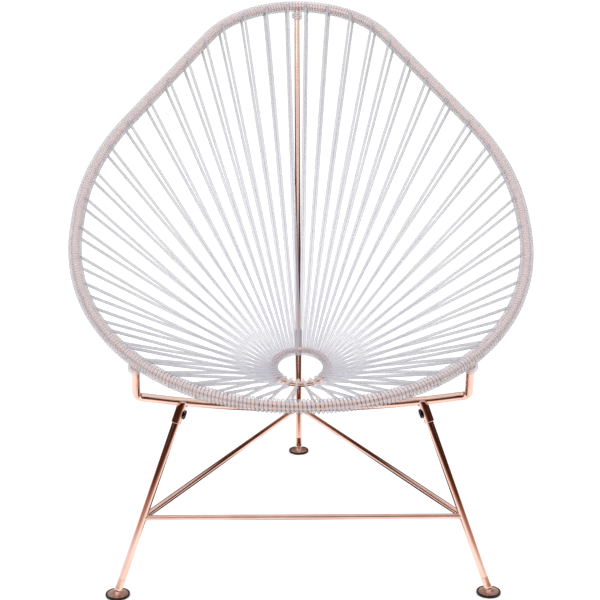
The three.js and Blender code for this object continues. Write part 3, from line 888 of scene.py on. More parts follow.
@dataclass
class Cordage(Assembly):
    """The clear cord: the winding on the hoop, and the loops that run to the ring."""

    hoop: Hoop
    ring: CentreRing
    arm_joint: float
    cord: float = 4.8 * MM
    pitch: float = 5.73 * MM
    spread: float = 2.9 * MM  # between the two strands of a pair, on the hoop: half a turn
    back_pairs: int = 18
    front_pairs: int = 6
    pairs_in_sector: int = 3
    end_spacing_share: float = 0.47
    spacing_power: float = 2.7
    spacing_lean: float = 0.055
    ring_front_pairs: int = 3  # pairs that stand apart at the front of the ring, on each side
    ring_front_pitch: float = math.radians(15.5)
    ring_slip: float = 0.9  # how far a loop slips along the ring as it turns, in cord widths
    ring_turn_points: int = 13
    top_joint_half: float = 9 * MM
    arm_joint_half: float = 13 * MM
    joint_swell: float = 0.2 * MM  # how much higher the turns over a joint lie
    collar_turns: float = 2.4
    collar_start: float = 0.9  # from the hoop's winding, in cord widths
    stray: float = 1.6 * MM  # how far a pair may lie from its even place on the hoop
    bend_near: float = 64 * MM  # this near the ring: as clear as a wound cord, painted lightest
    bend_far: float = 170 * MM  # and this far: as milky as a free one, with no painted light
    turn_steps: int = 20  # points in a turn
    winding_sides: int = 10
    strand_sides: int = 12
    seed: int = 7

    def __post_init__(self) -> None:
        """Lay out the pairs and the turns between them."""
        self.turn_radius = (self.hoop.rod + self.cord) / 2
        self.pairs_in_half = self.back_pairs + self.front_pairs
        self.edges = self.cell_edges()
        dice = random.Random(self.seed)
        numbers = range(self.pairs_in_half)
        self.pairs = {hand: [self.lay_pair(i, hand, dice) for i in numbers] for hand in Hand}
        self.knots, self.angles = self.wind()

    def cell_edges(self) -> list[float]:
        """Edges of the cells that hold one pair each, from the top to the middle of the lip.

        Returns:
            Distances from the top.
        """
        shares = []
        for i in range(self.back_pairs):
            place = (2 * i + 1) / self.back_pairs - 1
            share = 1 - (1 - self.end_spacing_share) * abs(place) ** self.spacing_power
            shares.append(share * (1 + self.spacing_lean * place))
        edges = [0.0]
        for share in shares:
            edges.append(edges[-1] + self.arm_joint * share / sum(shares))
        front = self.hoop.half_length - self.arm_joint
        for i in range(1, self.front_pairs + 1):
            edges.append(self.arm_joint + front * i / self.front_pairs)
        return edges

    def foot(self, distance: float, onto: Vector) -> tuple[Vector, float]:
        """Where a strand that runs over the hoop leaves its winding.

        Args:
            distance: Place on the hoop.
            onto: The point of the ring that the strand runs to.

        Returns:
            The way out from the rod's middle, and its angle: 0 inside, 90 degrees on top.
        """
        along, inward = self.hoop.along(distance), self.hoop.inward(distance)
        run = square_to(onto - self.hoop.place(distance), along)
        angle = math.pi / 2 + math.atan2(run.dot(self.hoop.off), run.dot(inward))
        out = inward * math.cos(angle) + self.hoop.off * math.sin(angle)
        return out * self.turn_radius, angle

    def lay_pair(self, index: int, hand: Hand, dice: random.Random) -> Pair:
        """Work out one loop of cord.

        Args:
            index: Its number from the top.
            hand: The side of the chair.
            dice: Source of the small strays.

        Returns:
            The pair.
        """
        even = (self.edges[index] + self.edges[index + 1]) / 2
        middle = even + dice.uniform(-1, 1) * self.stray
        spread = self.spread + dice.uniform(-0.5, 0.5) * self.stray
        angle = self.ring_angle(index)
        onto = self.ring.place(angle, hand)[0]
        places = [hand.value * (middle + way * spread / 2) for way in (-1, 1)]
        over, over_angle = self.foot(places[0], onto)
        under, under_angle = self.foot(places[1], onto)
        return Pair(
            distance=middle,
            spread=spread,
            over_foot=self.hoop.place(places[0]) + over,
            under_foot=self.hoop.place(places[1]) - under,
            over_angle=over_angle,
            under_angle=under_angle + math.pi,
            turn=self.ring_turn(angle, hand, self.hoop.place(hand.value * middle)),
        )

    def ring_turn(self, angle: float, hand: Hand, start: Vector) -> list[Vector]:
        """How a loop turns on the ring: in under it, round its inside and out over it.

        Args:
            angle: The loop's place on the ring.
            hand: The side of the chair.
            start: Where the loop comes from, on the hoop.

        Returns:
            Points of the turn.
        """
        radius = (self.ring.rod + self.cord) / 2
        step = self.cord * self.ring_slip / self.ring.radius
        points = []
        for turned_by in np.linspace(math.pi, 0, self.ring_turn_points):
            slip = (0.5 - turned_by / math.pi) * step
            onto, along = self.ring.place(angle + slip, hand)
            run = square_to(onto - start, along)
            top = self.hoop.off - along * self.hoop.off.dot(along)
            side = square_to(top, run) * (radius * math.cos(turned_by))
            points.append(onto + side + run * (radius * math.sin(turned_by)))
        return points

    def ring_angle(self, index: int) -> float:
        """Where a pair turns on the ring, from its back: close together, but apart at the front.

        Args:
            index: The pair's number from the top.

        Returns:
            The angle.
        """
        close = self.pairs_in_half - self.ring_front_pairs
        reach = math.pi - self.ring_front_pairs * self.ring_front_pitch
        if index < close:
            return (index + 0.5) / close * reach
        return reach + (index - close + 0.5) * self.ring_front_pitch

    def wind(self) -> tuple[np.ndarray, np.ndarray]:
        """Work out how the winding turns, so that it meets the foot of every strand.

        Returns:
            Distances round the whole hoop by the right side, and the winding's angle at each.
        """
        length, feet = self.hoop.length, []
        for pair in self.pairs[Hand.RIGHT]:
            feet.append((pair.distance - pair.spread / 2, pair.over_angle))
            feet.append((pair.distance + pair.spread / 2, pair.under_angle))
        for pair in reversed(self.pairs[Hand.LEFT]):
            feet.append((length - pair.distance - pair.spread / 2, pair.under_angle))
            feet.append((length - pair.distance + pair.spread / 2, pair.over_angle))
        feet.append((feet[0][0] + length, feet[0][1]))
        knots, angles = [feet[0][0]], [feet[0][1]]
        for (from_distance, from_angle), (to_distance, to_angle) in zip(feet, feet[1:]):
            rest = (from_angle - to_angle) % math.tau
            wanted = math.tau * (to_distance - from_distance) / self.pitch
            turns = max(round((wanted - rest) / math.tau), 0)
            knots.append(to_distance)
            angles.append(angles[-1] - rest - math.tau * turns)
        return np.array(knots), np.array(angles)

    def winding(self, start: float, end: float, extra: float = 0.0) -> list[Vector]:
        """The middle line of the winding over a stretch of the hoop.

        Args:
            start: Where the stretch starts, going round by the right side.
            end: Where it ends.
            extra: How much further from the rod the turns lie than on the plain hoop.

        Returns:
            Its points.
        """
        hoop, line = self.hoop, []
        count = max(int((end - start) / self.pitch * self.turn_steps), 2)
        for distance in np.linspace(start, end, count):
            laps = 1 if distance < self.knots[0] else 0
            around = distance + hoop.length * laps
            angle = float(np.interp(around, self.knots, self.angles))
            angle -= (self.angles[-1] - self.angles[0]) * laps
            signed = distance if distance <= hoop.half_length else distance - hoop.length
            out = hoop.inward(signed) * math.cos(angle) + hoop.off * math.sin(angle)
            line.append(hoop.place(signed) + out * (self.turn_radius + extra))
        return line

    def sector(self, number: int, hand: Hand) -> tuple[float, float]:
        """The stretch of the hoop that one sector's winding covers.

        Args:
            number: The sector's number from the top.
            hand: The side of the chair.

        Returns:
            Where it starts and ends, going round by the right side.
        """
        first = number * self.pairs_in_sector
        last = first + self.pairs_in_sector
        start, end = self.edges[first], self.edges[last]
        if first == 0:
            start += self.top_joint_half
        if first == self.back_pairs:
            start += self.arm_joint_half
        if last == self.back_pairs:
            end -= self.arm_joint_half
        if hand is Hand.RIGHT:
            return start, end
        return self.hoop.length - end, self.hoop.length - start

    def bend(self, point: Vector) -> float:
        """How much a strand point takes part in the bend round the ring and its painted light."""
        away = (point - self.ring.middle).length
        return BENT * min(max((self.bend_far - away) / (self.bend_far - self.bend_near), 0.0), 1.0)

    def coils(self, name: str, lines: Sequence[Sequence[Vector]]) -> Piece:
        """Make cord that is wound on a rod.

        Args:
            name: The piece's name.
            lines: The cord's middle lines.

        Returns:
            The piece.
        """
        return mark_cord(swept(name, lines, self.cord / 2, self.winding_sides), lambda point: 1.0)

    def build(self) -> None:
        """Wind every sector and string its loops."""
        for hand in Hand:
            for number in range(self.pairs_in_half // self.pairs_in_sector):
                first = number * self.pairs_in_sector
                mine = self.pairs[hand][first : first + self.pairs_in_sector]
                coil = self.coils("coil", [self.winding(*self.sector(number, hand))])
                loops = [[pair.over_foot, *pair.turn, pair.under_foot] for pair in mine]
                strands = swept("strands", loops, self.cord / 2, self.strand_sides)
                mark_cord(strands, self.bend)
                piece = joined(f"{hand.word}_cords_{number + 1:02d}", [coil, strands])
                self.fitter.fit(piece, Slot.CORD, f"{hand.word}_cord_sector_{number + 1:02d}")

    def bind(
        self, name: str, node: str, distance: float, half: float, towards: Vector, rod: float
    ) -> None:
        """Bind a welded joint with turns on the hoop and a collar of turns on the joined rod.

        Args:
            name: The piece's name.
            node: The node that it replaces.
            distance: Place of the joint, going round by the right side.
            half: Half of the stretch that the joint takes on the hoop.
            towards: A point down the joined rod's axis.
            rod: The joined rod's diameter.
        """
        place = self.hoop.place(distance)
        down = (towards - place).normalized()
        across = square_to(self.hoop.along(distance), down)
        front = down.cross(across).normalized()
        collar = []
        steps = int(self.collar_turns * self.turn_steps)
        for i in range(steps + 1):
            angle = math.tau * self.collar_turns * i / steps
            start = self.turn_radius + self.cord * self.collar_start
            drop = start + self.cord * self.collar_turns * i / steps
            side = across * math.cos(angle) + front * math.sin(angle)
            collar.append(place + down * drop + side * ((rod + self.cord) / 2))
        spans = [(distance - half, distance + half)]
        if distance < half:
            spans = [(0.0, half), (self.hoop.length - half, self.hoop.length)]
        lines = [self.winding(start, end, self.joint_swell) for start, end in spans]
        self.fitter.fit(self.coils(name, [*lines, collar]), Slot.CORD, node)


# The frame under the seat


@dataclass
class ArmBar(Assembly):
    """A rod under the lip: two uprights from the hoop, joined by a bar that dips in the middle."""

    hoop: Hoop
    rod: float = 13 * MM
    inset: float = 116 * MM  # from where the hoop is widest in to the joint
    flare: float = 6 * MM
    back: float = 134 * MM
    corner_height: float = 290.9 * MM
    dip: float = 21 * MM
    dip_back: float = 12 * MM
    bend: float = 15 * MM
    bend_points: int = 10
    dip_points: int = 30
    sides: int = 24

    def __post_init__(self) -> None:
        """Find where the uprights meet the hoop."""
        half_span = self.hoop.half_width - self.inset
        self.corner_half = half_span + self.flare
        self.joint = self.hoop.distance_at_width(half_span)
        self.head = self.hoop.place(self.joint)
        self.line = self.hoop.front.y + self.back

    def corner(self, hand: Hand) -> Vector:
        """The sharp corner that the bend rounds off."""
        return Vector((hand.value * self.corner_half, self.line, self.corner_height))

    def place(self, x: float) -> Vector:
        """A point of the dipped bar's middle line, at a distance sideways."""
        share = 1 - (x / (self.corner_half - self.bend)) ** 2
        return Vector((x, self.line + self.dip_back * share, self.corner_height - self.dip * share))

    def path(self) -> list[Vector]:
        """The middle line of the whole bar.

        Returns:
            Points from the right joint down, across and up to the left one.
        """
        corner = self.corner(Hand.RIGHT)
        top = point_on(corner, self.head, self.bend)
        start = self.corner_half - self.bend
        end = self.place(start)
        right = [self.head]
        for t in np.linspace(0, 1, self.bend_points):
            right.append(top * (1 - t) ** 2 + corner * (2 * t * (1 - t)) + end * t**2)
        for x in np.linspace(start, 0, self.dip_points)[1:]:
            right.append(self.place(x))
        left = [Vector((-p.x, p.y, p.z)) for p in reversed(right[:-1])]
        return right + left

    def build(self) -> None:
        """Bend the bar."""
        bar = swept("arm_rod", [self.path()], self.rod / 2, self.sides)
        self.fitter.fit(bar, Slot.COPPER, "arm_bar")


@dataclass
class Base(Assembly):
    """The welded base: sockets, three legs, a stretcher, two braces and the spine up the back."""

    hoop: Hoop
    bar: ArmBar
    front_rod: float = 11.5 * MM
    front_top: float = 182 * MM
    front_foot_half: float = 282 * MM
    front_foot_back: float = 58.5 * MM
    rear_rod: float = 12 * MM
    rear_foot_back: float = 639.5 * MM
    spine_rod: float = 10 * MM
    rear_socket_height: float = 201.5 * MM
    brace_rod: float = 10 * MM
    brace_rear_height: float = 81.5 * MM
    stretcher_rod: float = 8 * MM
    stretcher_height: float = 113.5 * MM
    socket_length: float = 34 * MM
    rear_socket_length: float = 42 * MM
    socket_wall: float = 1.75 * MM  # with the slip fit inside it
    socket_edge: float = 0.5 * MM
    socket_depth: float = 6 * MM  # of the bore that shows at a socket's mouth
    slip_fit: float = 0.3 * MM  # how much wider a socket's mouth is than the rod in it
    bar_reach: float = 5 * MM  # to a second point of the bar, for its direction at a socket
    bolt_drop: float = 18 * MM
    bolt_head: float = 15 * MM
    bolt_head_height: float = 3.2 * MM
    bolt_shank: float = 3 * MM  # radius
    bolt_tip: float = 0.6 * MM  # how far it ends inside the socket's far side
    bolt_lift: float = 0.35 * MM  # of the head off the socket
    bolt_sides: int = 36
    bolt_crease: float = 30.0  # degrees
    hexagon: float = 2.4 * MM  # radius of the recess for the key
    leg_start: float = 12 * MM  # from the bar's middle to the leg's upper end
    leg_lift: float = 20 * MM
    leg_gap: float = 1 * MM  # from the middle of the rear socket to each rod in it
    ball_height: float = 6.4 * MM
    end_edge: float = 0.15 * MM  # broken edge where the ferrule meets the leg
    stretcher_bite: float = 0.8 * MM  # how far a cross rod reaches into a front leg
    brace_bite: float = 0.5 * MM  # and into the rear leg

    def __post_init__(self) -> None:
        """Find the rear glide's ball and the top of the spine."""
        y = self.hoop.front.y + self.rear_foot_back
        self.rear_ball = Vector((0, y, self.ball_height))
        self.spine_top = self.hoop.place(0)

    def ball(self, hand: Hand) -> Vector:
        """The middle of a front glide's ball."""
        y = self.hoop.front.y + self.front_foot_back
        return Vector((hand.value * self.front_foot_half, y, self.ball_height))

    def leg_top(self, hand: Hand) -> Vector:
        """Where a front leg's axis meets the arm bar."""
        return self.bar.place(hand.value * self.front_top)

    def bolt(self, name: str, middle: Vector, outward: Vector, socket: float) -> None:
        """Turn a black button head with its hexagon recess.

        Args:
            name: The corner of the base that it holds.
            middle: Where the bolt crosses the leg's axis.
            outward: From the leg to the head.
            socket: The socket's outer diameter.
        """
        head, tall = self.bolt_head / 2, self.bolt_head_height
        profile = [
            (self.bolt_shank, self.bolt_tip - socket),
            (self.bolt_shank, 0),
            (head - 0.4 * MM, 0),
            (head, 0.4 * MM),
            (head, tall * 0.35),
            (head * 0.93, tall * 0.66),
            (head * 0.78, tall * 0.88),
            (head * 0.6, tall),
            (2.6 * MM, tall),
        ]
        seat = middle + outward * (socket / 2 + self.bolt_lift)
        piece = turned(f"{name}_bolt", profile, seat, outward, self.bolt_sides)
        key = [(self.hexagon, tall * 0.3), (self.hexagon, tall * 2)]
        recess = turned("recess", key, seat, outward, sides=6)
        deselect_all()
        bpy.context.view_layer.objects.active = piece
        modifier = piece.modifiers.new("recess", "BOOLEAN")
        modifier.operation = "DIFFERENCE"
        modifier.object = recess
        bpy.ops.object.modifier_apply(modifier="recess")
        bpy.data.objects.remove(recess)
        smooth(piece, self.bolt_crease)
        self.fitter.fit(piece, Slot.BOLT, f"{name}_socket_bolt")

    def sleeve(
        self, name: str, start: Vector, end: Vector, outside: float, inside: float
    ) -> Piece:
        """Make a socket: a short tube, open at its end, with broken edges.

        Args:
            name: The socket's name.
            start: The middle of its welded end.
            end: The middle of its open end.
            outside: Its outer diameter.
            inside: The diameter of the rod in it.

        Returns:
            The socket.
        """
        length, edge = (end - start).length, self.socket_edge
        outer, bore = outside / 2, (inside + self.slip_fit) / 2
        profile = [
            (outer - edge, 0),
            (outer, edge),
            (outer, length - edge),
            (outer - edge, length),
            (bore + edge / 2, length),
            (bore, length - edge),
            (bore, length - self.socket_depth),
        ]
        return turned(name, profile, start, end - start, sides=40)

    def front_corner(self, hand: Hand) -> None:
        """Build a front leg with its socket, bolt and weld.

        Args:
            hand: The side of the chair.
        """
        top, ball = self.leg_top(hand), self.ball(hand)
        down = (ball - top).normalized()
        socket = self.front_rod + 2 * self.socket_wall
        mouth = point_on(top, ball, self.socket_length)
        sleeve = self.sleeve("sleeve", top, mouth, socket, self.front_rod)
        bar_here = self.bar.place(hand.value * (self.front_top + self.bar_reach))
        weld = WeldBead(Axis(top, ball, socket), Axis(top, bar_here, self.bar.rod)).build()
        piece = joined(f"{hand.word}_socket", [sleeve, weld])
        self.fitter.fit(piece, Slot.COPPER, f"{hand.word}_leg_socket")
        high, low = point_on(top, ball, self.leg_start), point_on(ball, top, self.leg_lift)
        leg = rod(f"{hand.word}_front_leg_rod", Axis(high, low, self.front_rod), self.end_edge)
        self.fitter.fit(leg, Slot.COPPER, f"front_{hand.word}_leg")
        outward = square_to(Vector((-hand.value, 0, 0)), down)
        self.bolt(hand.word, point_on(top, ball, self.bolt_drop), outward, socket)

    def rear_corner(self) -> None:
        """Build the rear leg, the spine and the socket that joins them."""
        ball, top = self.rear_ball, self.spine_top
        up = (top - ball).normalized()
        middle = at_height(ball, top, self.rear_socket_height)
        socket = self.rear_rod + 2 * self.socket_wall
        reach = self.rear_socket_length / 2
        upper = self.sleeve("upper", middle, middle + up * reach, socket, self.spine_rod)
        lower = self.sleeve("lower", middle, middle - up * reach, socket, self.rear_rod)
        piece = joined("rear_socket", [upper, lower])
        self.fitter.fit(piece, Slot.COPPER, "rear_leg_socket")
        low, below = point_on(ball, top, self.leg_lift), middle - up * self.leg_gap
        leg = rod("rear_leg_rod", Axis(low, below, self.rear_rod), self.end_edge)
        self.fitter.fit(leg, Slot.COPPER, "rear_leg")
        above, high = middle + up * self.leg_gap, point_on(top, ball, self.hoop.rod / 2)
        spine = rod("spine_rod", Axis(above, high, self.spine_rod))
        self.fitter.fit(spine, Slot.COPPER, "back_spine")
        self.bolt("rear", middle - up * reach / 2, square_to(Vector((0, 1, 0)), up), socket)

    def cross_rods(self) -> None:
        """Build the stretcher and the braces with their welds."""
        legs = {hand: Axis(self.leg_top(hand), self.ball(hand), self.front_rod) for hand in Hand}
        right, left = (
            at_height(legs[hand].end, legs[hand].start, self.stretcher_height) for hand in Hand
        )
        inset = self.front_rod / 2 - self.stretcher_bite
        width = self.stretcher_rod
        ends = Axis(point_on(left, right, inset), point_on(right, left, inset), width)
        pieces = [
            rod("bar", ends),
            WeldBead(Axis(right, left, width), legs[Hand.RIGHT]).build(),
            WeldBead(Axis(left, right, width), legs[Hand.LEFT]).build(),
        ]
        stretcher = joined("stretcher_rod", pieces)
        self.fitter.fit(stretcher, Slot.COPPER, "front_stretcher", satin=True)
        rear = at_height(self.rear_ball, self.spine_top, self.brace_rear_height)
        rear_leg = Axis(self.rear_ball, self.spine_top, self.rear_rod)
        rear_inset = self.rear_rod / 2 - self.brace_bite
        width = self.brace_rod
        for hand, front in ((Hand.RIGHT, right), (Hand.LEFT, left)):
            ends = Axis(point_on(front, rear, inset), point_on(rear, front, rear_inset), width)
            pieces = [
                rod("brace", ends),
                WeldBead(Axis(front, rear, width), legs[hand]).build(),
                WeldBead(Axis(rear, front, width), rear_leg).build(),
            ]
            brace = joined(f"{hand.word}_brace_rod", pieces)
            self.fitter.fit(brace, Slot.COPPER, f"{hand.word}_brace")

    def build(self) -> None:
        """Build the whole base."""
        for hand in Hand:
            self.front_corner(hand)
        self.rear_corner()
        self.cross_rods()


@dataclass
class Glide(Assembly):
    """A swivel glide: rubber pad, copper cup, ball stud and the ferrule above it."""

    name: str
    ball: Vector
    towards: Vector
    leg_rod: float
    pad_radius: float = 18.5 * MM
    pad_floor: float = 1.6 * MM
    pad_rim: float = 4.2 * MM
    pad_lip: float = 2.2 * MM
    pad_edge: float = 0.9 * MM
    cup_plate: float = 1 * MM
    cup_mouth: float = 3.6 * MM
    seat_gap: float = 0.1 * MM
    ball_radius: float = 3.5 * MM
    boss_radius: float = 4.75 * MM
    stud: float = 3.6 * MM
    thread_rings: int = 8
    thread_depth: float = 0.2 * MM
    leg_lift: float = 20 * MM
    ferrule_lift: float = 1.6 * MM
    ferrule_flare: float = 0.9 * MM
    ferrule_hollow: float = 5.1 * MM  # radius of the hollow round the ball

    def build(self) -> None:
        """Turn the glide's four pieces."""
        body, fit = f"{self.name}_glide", self.fitter.fit
        foot = Vector((self.ball.x, self.ball.y, 0))
        up = self.towards - self.ball
        pad = turned(f"{self.name}_pad", self.pad(), foot, UP, sides=64)
        fit(pad, Slot.RUBBER, f"{self.name}_glide_pad", body)
        cup = turned(f"{self.name}_cup", self.cup(), foot, UP, sides=64)
        fit(cup, Slot.COPPER, f"{self.name}_glide_cup", body, satin=True)
        stud = turned(f"{self.name}_stud", self.ball_stud(), self.ball, up, sides=36)
        fit(stud, Slot.STEEL, f"{self.name}_ball_stud")
        ferrule = turned(f"{self.name}_ferrule", self.ferrule(), self.ball, up)
        fit(ferrule, Slot.COPPER, f"{self.name}_foot_ferrule")

    def pad(self) -> Outline:
        """Outline of the rubber pad with its raised, rounded rim.

        Returns:
            Radius and height of each ring.
        """
        outer, rim, lip, edge = self.pad_radius, self.pad_rim, self.pad_lip, self.pad_edge
        return [
            (outer - edge, 0),
            (outer - edge * 0.3, edge * 0.3),
            (outer, edge),
            (outer, rim - edge * 1.2),
            (outer - edge * 0.4, rim - edge * 0.3),
            (outer - lip * 0.5, rim),
            (outer - lip + 0.2 * MM, rim - edge * 0.3),
            (outer - lip, rim - edge),
            (outer - lip, self.pad_floor),
        ]

    def cup(self) -> Outline:
        """Outline of the dished copper cup with the boss that holds the ball.

        Returns:
            Radius and height of each ring.
        """
        low = self.pad_floor + self.seat_gap
        outer = self.pad_radius - self.pad_lip - self.seat_gap
        top, boss = low + self.cup_plate, self.boss_radius
        mouth, ball = self.cup_mouth, self.ball.z
        return [
            (outer, low),
            (outer, top + 0.5 * MM),
            (outer - 0.5 * MM, top + 0.75 * MM),
            (outer - 1.3 * MM, top + 0.6 * MM),
            (outer - 4 * MM, top + 0.4 * MM),
            (boss + 2.6 * MM, top + 0.2 * MM),
            (boss + 1 * MM, top + 0.45 * MM),
            (boss + 0.2 * MM, top + 1.1 * MM),
            (boss - 0.15 * MM, top + 2.2 * MM),
            (mouth + 0.7 * MM, ball + 1.2 * MM),
            (mouth + 0.5 * MM, ball + 1.6 * MM),
            (mouth, ball + 1.65 * MM),
            (mouth, ball + 0.6 * MM),
            (1 * MM, ball - 3.6 * MM),
        ]

    def ball_stud(self) -> Outline:
        """Outline of the ball, its neck and the thread above it.

        Returns:
            Radius and height of each ring, from the ball's middle.
        """
        radius, neck, top = self.ball_radius, self.stud / 2, self.leg_lift
        round_off = np.radians([-88, -75, -60, -40, -20, 0, 20, 40])
        profile = [(radius * math.cos(a), radius * math.sin(a)) for a in round_off]
        profile.append((neck, radius * 0.95))
        for i in range(self.thread_rings):
            height = radius + 0.2 * MM + (top - radius) * i / self.thread_rings
            profile.append((neck - self.thread_depth * (i % 2), height))
        profile.append((neck, top))
        return profile

    def ferrule(self) -> Outline:
        """Outline of the flared ferrule between the leg and the ball.

        Returns:
            Radius and height of each ring, from the ball's middle.
        """
        upper, hollow = self.leg_rod / 2, self.ferrule_hollow
        lower, low, top = upper + self.ferrule_flare, self.ferrule_lift, self.leg_lift
        inside = np.radians([26, 40, 55, 67])
        return [(hollow * math.sin(a), hollow * math.cos(a)) for a in inside] + [
            (lower - 1.5 * MM, low),
            (lower - 0.75 * MM, low + 0.2 * MM),
            (lower - 0.2 * MM, low + 0.75 * MM),
            (lower, low + 1.6 * MM),
            (lower - self.ferrule_flare * 0.35, low + 4 * MM),
            (upper + 0.12 * MM, low + 9 * MM),
            (upper, top - 0.3 * MM),
            (upper - 0.2 * MM, top - 0.1 * MM),
        ]


# The studio


@dataclass
class Surround:
    """A round glowing screen and a floor card that only reflections see: painted reflections.

    They paint the polished rods' dark streaks and glow by themselves. The screen is white near the
    floor and again above the chair, and dark brown in between. The card lies under the seat and
    paints the shade there into the rods' reflections.
    """

    radius: float = 0.8
    height: float = 1.6
    tilt: float = 0.06  # how much lower the dark band starts on the right, as a slope
    stops: Stops = (
        (0.04, "#FFFFFF"),
        (0.15, "#C29C8B"),
        (0.27, "#5A3324"),
        (0.4, "#331C12"),
        (0.66, "#4A2C1F"),
        (0.9, "#FFFFFF"),
    )  # painted reflection tones by height
    card_half: tuple[float, float, float] = (0.2, 0.28, 1)  # the oval's half width and length
    card_place: tuple[float, float, float] = (0, -0.16, 0)
    card_stops: Stops = (
        (0.0, "#3A2016"),
        (0.65, "#4A2C1F"),
        (1.0, "#FFFFFF"),
    )  # painted shade tones from its middle to its edge

    def build(self) -> None:
        """Set up the screen and the card."""
        deselect_all()
        bpy.ops.mesh.primitive_cylinder_add(
            vertices=96,
            radius=self.radius,
            depth=self.height,
            end_fill_type="NOTHING",
            location=(0, 0, self.height / 2),
        )
        stops = [(height / self.height, colour) for height, colour in self.stops]
        self.hang("reflection_screen", "painted_reflection_screen", self.screen_share, stops)
        deselect_all()
        bpy.ops.mesh.primitive_circle_add(
            vertices=64, radius=1, fill_type="NGON", location=self.card_place
        )
        bpy.context.object.scale = self.card_half
        self.hang("reflection_card", "painted_shade_card", self.card_share, self.card_stops)

    def hang(self, name: str, sheet_material: str, share: Callable, stops: Stops) -> None:
        """Make the new object a graded sheet of painted reflection that only reflections see.

        It glows by itself, though it is no lamp, so that the lamps don't change its tones.

        Args:
            name: Its name.
            sheet_material: The name of its material.
            share: Adds the nodes that measure the place on the sheet.
            stops: The tones and their places.
        """
        sheet = bpy.context.object
        sheet.name = name
        settle(sheet)
        material, tree = bare_material(sheet_material)
        place = add_node(tree, "TexCoord").outputs["Object"]
        ramp = add_node(tree, "ValToRGB", {"Fac": share(tree, place)})
        set_stops(ramp, stops)
        glow = add_node(tree, "Emission", {"Color": ramp.outputs["Color"]}, in_Strength=1.0)
        add_node(tree, "OutputMaterial", {"Surface": glow.outputs[0]})
        sheet.data.materials.append(material)
        sheet.visible_camera = False
        sheet.visible_diffuse = False
        sheet.visible_transmission = False
        sheet.visible_shadow = False

    def screen_share(self, tree: Tree, place: Socket) -> Socket:
        """Measure the height on the screen, lowered on one side.

        Args:
            tree: The screen's node tree.
            place: The point on the screen.

        Returns:
            Its height as a share of the whole.
        """
        parts = add_node(tree, "SeparateXYZ", {0: place})
        links = {0: parts.outputs["X"], 2: parts.outputs["Z"]}
        lean = add_node(tree, "Math", links, operation="MULTIPLY_ADD")
        lean.inputs[1].default_value = self.tilt
        share = add_node(tree, "Math", {0: lean.outputs[0]}, operation="DIVIDE")
        share.inputs[1].default_value = self.height
        return share.outputs[0]

    def card_share(self, tree: Tree, place: Socket) -> Socket:
        """Measure the distance from the card's middle.

        Args:
            tree: The card's node tree.
            place: The point on the card.

        Returns:
            The distance as a share of the way to its edge.
        """
        for operation, value in (("SUBTRACT", self.card_place), ("DIVIDE", self.card_half)):
            step = add_node(tree, "VectorMath", {0: place}, operation=operation)
            step.inputs[1].default_value = value
            place = step.outputs[0]
        length = add_node(tree, "VectorMath", {0: place}, operation="LENGTH")
        return length.outputs["Value"]


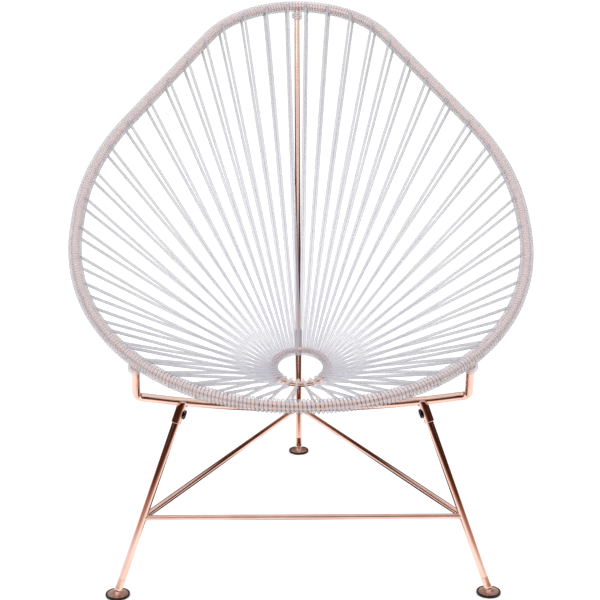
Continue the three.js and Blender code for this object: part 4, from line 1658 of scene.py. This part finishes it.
@dataclass
class Studio:
    """A pale floor, a white world, two soft lamps, painted reflections for the rods, and the
    camera.
    """

    focal: float = 1420.0  # in pixels of the 600-pixel frame
    frame_width: float = 600.0
    sensor: float = 36.0
    camera_height: float = 1017.5 * MM
    camera_back: float = 2358.5 * MM
    pitch: float = math.radians(15.75)
    yaw: float = math.radians(0.75)
    soft: float = 0.85  # strength of the world's light
    floor_size: float = 60.0
    floor_drop: float = 0.2 * MM
    floor_grey: float = 0.8
    floor_glow: float = 0.4
    lamp_target: tuple[float, float, float] = (0, 0, 0.4)

    def build(self) -> None:
        """Set up everything that isn't the chair."""
        self.view()
        self.world()
        self.floor()
        self.lamp("key", Vector((-1.9, -2.2, 2.6)), size=1.8, power=26.0)
        self.lamp("fill", Vector((2.4, -1.2, 2.0)), size=2.0, power=12.0)
        Surround().build()

    def view(self) -> None:
        """Place the camera as the photograph was taken."""
        data = bpy.data.cameras.new("camera")
        data.sensor_width = self.sensor
        data.lens = self.focal * self.sensor / self.frame_width
        camera = bpy.data.objects.new("camera", data)
        bpy.context.scene.collection.objects.link(camera)
        sideways = -math.tan(self.yaw) * self.camera_back
        camera.location = (sideways, -self.camera_back, self.camera_height)
        camera.rotation_euler = (math.pi / 2 - self.pitch, 0, -self.yaw)
        bpy.context.scene.camera = camera

    def seen_directly(self, tree: Tree) -> Socket:
        """Say whether a ray comes from the camera, a reflection or through clear cord.

        Args:
            tree: The node tree that asks.

        Returns:
            A socket that is 1 for such a ray.
        """
        path = add_node(tree, "LightPath")
        seen = path.outputs["Is Camera Ray"]
        for kind in ("Is Glossy Ray", "Is Transmission Ray"):
            links = {0: seen, 1: path.outputs[kind]}
            seen = add_node(tree, "Math", links, operation="MAXIMUM").outputs[0]
        return seen

    def world(self) -> None:
        """White where it is seen, and a plain soft light for the rest."""
        world = bpy.data.worlds.new("studio")
        bpy.context.scene.world = world
        world.use_nodes = True
        tree = world.node_tree
        tree.nodes.clear()
        seen = self.seen_directly(tree)
        soft, white = (
            add_node(tree, "Background", in_Color=WHITE, in_Strength=strength)
            for strength in (self.soft, 1.0)
        )
        links = {0: seen, 1: soft.outputs[0], 2: white.outputs[0]}
        mix = add_node(tree, "MixShader", links)
        add_node(tree, "OutputWorld", {"Surface": mix.outputs[0]})

    def floor(self) -> None:
        """Lay the floor: white paint that keeps a faint shadow."""
        deselect_all()
        place = (0, 0, -self.floor_drop)
        bpy.ops.mesh.primitive_plane_add(size=self.floor_size, location=place)
        floor = bpy.context.object
        floor.name = "floor"
        settle(floor)
        material, tree = bare_material("white_floor")
        seen = self.seen_directly(tree)
        grey = (self.floor_grey,) * 3 + (1,)
        paint = add_node(tree, "BsdfDiffuse", in_Color=grey)
        glow = add_node(tree, "Emission", in_Color=WHITE, in_Strength=self.floor_glow)
        bright = add_node(tree, "AddShader", {0: paint.outputs[0], 1: glow.outputs[0]})
        links = {0: seen, 1: paint.outputs[0], 2: bright.outputs[0]}
        mix = add_node(tree, "MixShader", links)
        add_node(tree, "OutputMaterial", {"Surface": mix.outputs[0]})
        floor.data.materials.append(material)

    def lamp(self, name: str, place: Vector, size: float, power: float) -> None:
        """Hang one large soft square lamp that faces the chair.

        Args:
            name: Its name.
            place: Where it hangs.
            size: Its side.
            power: Its power in watts.
        """
        data = bpy.data.lights.new(name, "AREA")
        data.size = size
        data.energy = power
        lamp = bpy.data.objects.new(name, data)
        bpy.context.scene.collection.objects.link(lamp)
        lamp.location = place
        aim = Vector(self.lamp_target) - place
        lamp.rotation_euler = aim.to_track_quat("-Z", "Y").to_euler()


def main() -> None:
    """Build the studio and the chair."""
    logging.basicConfig(level=logging.INFO, format="%(message)s")
    scene = bpy.context.scene
    scene.view_settings.view_transform = "Standard"
    scene.cycles.transparent_max_bounces = 32  # a look through the cords meets many of them
    Studio().build()
    fitter = Fitter()
    hoop = Hoop(fitter)
    ring = CentreRing(fitter, hoop)
    bar = ArmBar(fitter, hoop)
    base = Base(fitter, hoop, bar)
    cords = Cordage(fitter, hoop, ring, bar.joint)
    for assembly in (hoop, ring, bar, base, cords):
        assembly.build()
    half, spine = cords.top_joint_half, base.spine_rod
    cords.bind("top_knot", "top_joint_winding", 0.0, half, base.rear_ball, spine)
    for hand, joint in ((Hand.RIGHT, bar.joint), (Hand.LEFT, hoop.length - bar.joint)):
        name, node = f"{hand.word}_arm_knot", f"{hand.word}_arm_winding"
        cords.bind(name, node, joint, cords.arm_joint_half, bar.corner(hand), bar.rod)
    for hand in Hand:
        name = f"front_{hand.word}"
        Glide(fitter, name, base.ball(hand), base.leg_top(hand), base.front_rod).build()
    Glide(fitter, "rear", base.rear_ball, base.spine_top, base.rear_rod).build()
    log.info("%d pieces", fitter.count)


if __name__ == "__main__":
    main()
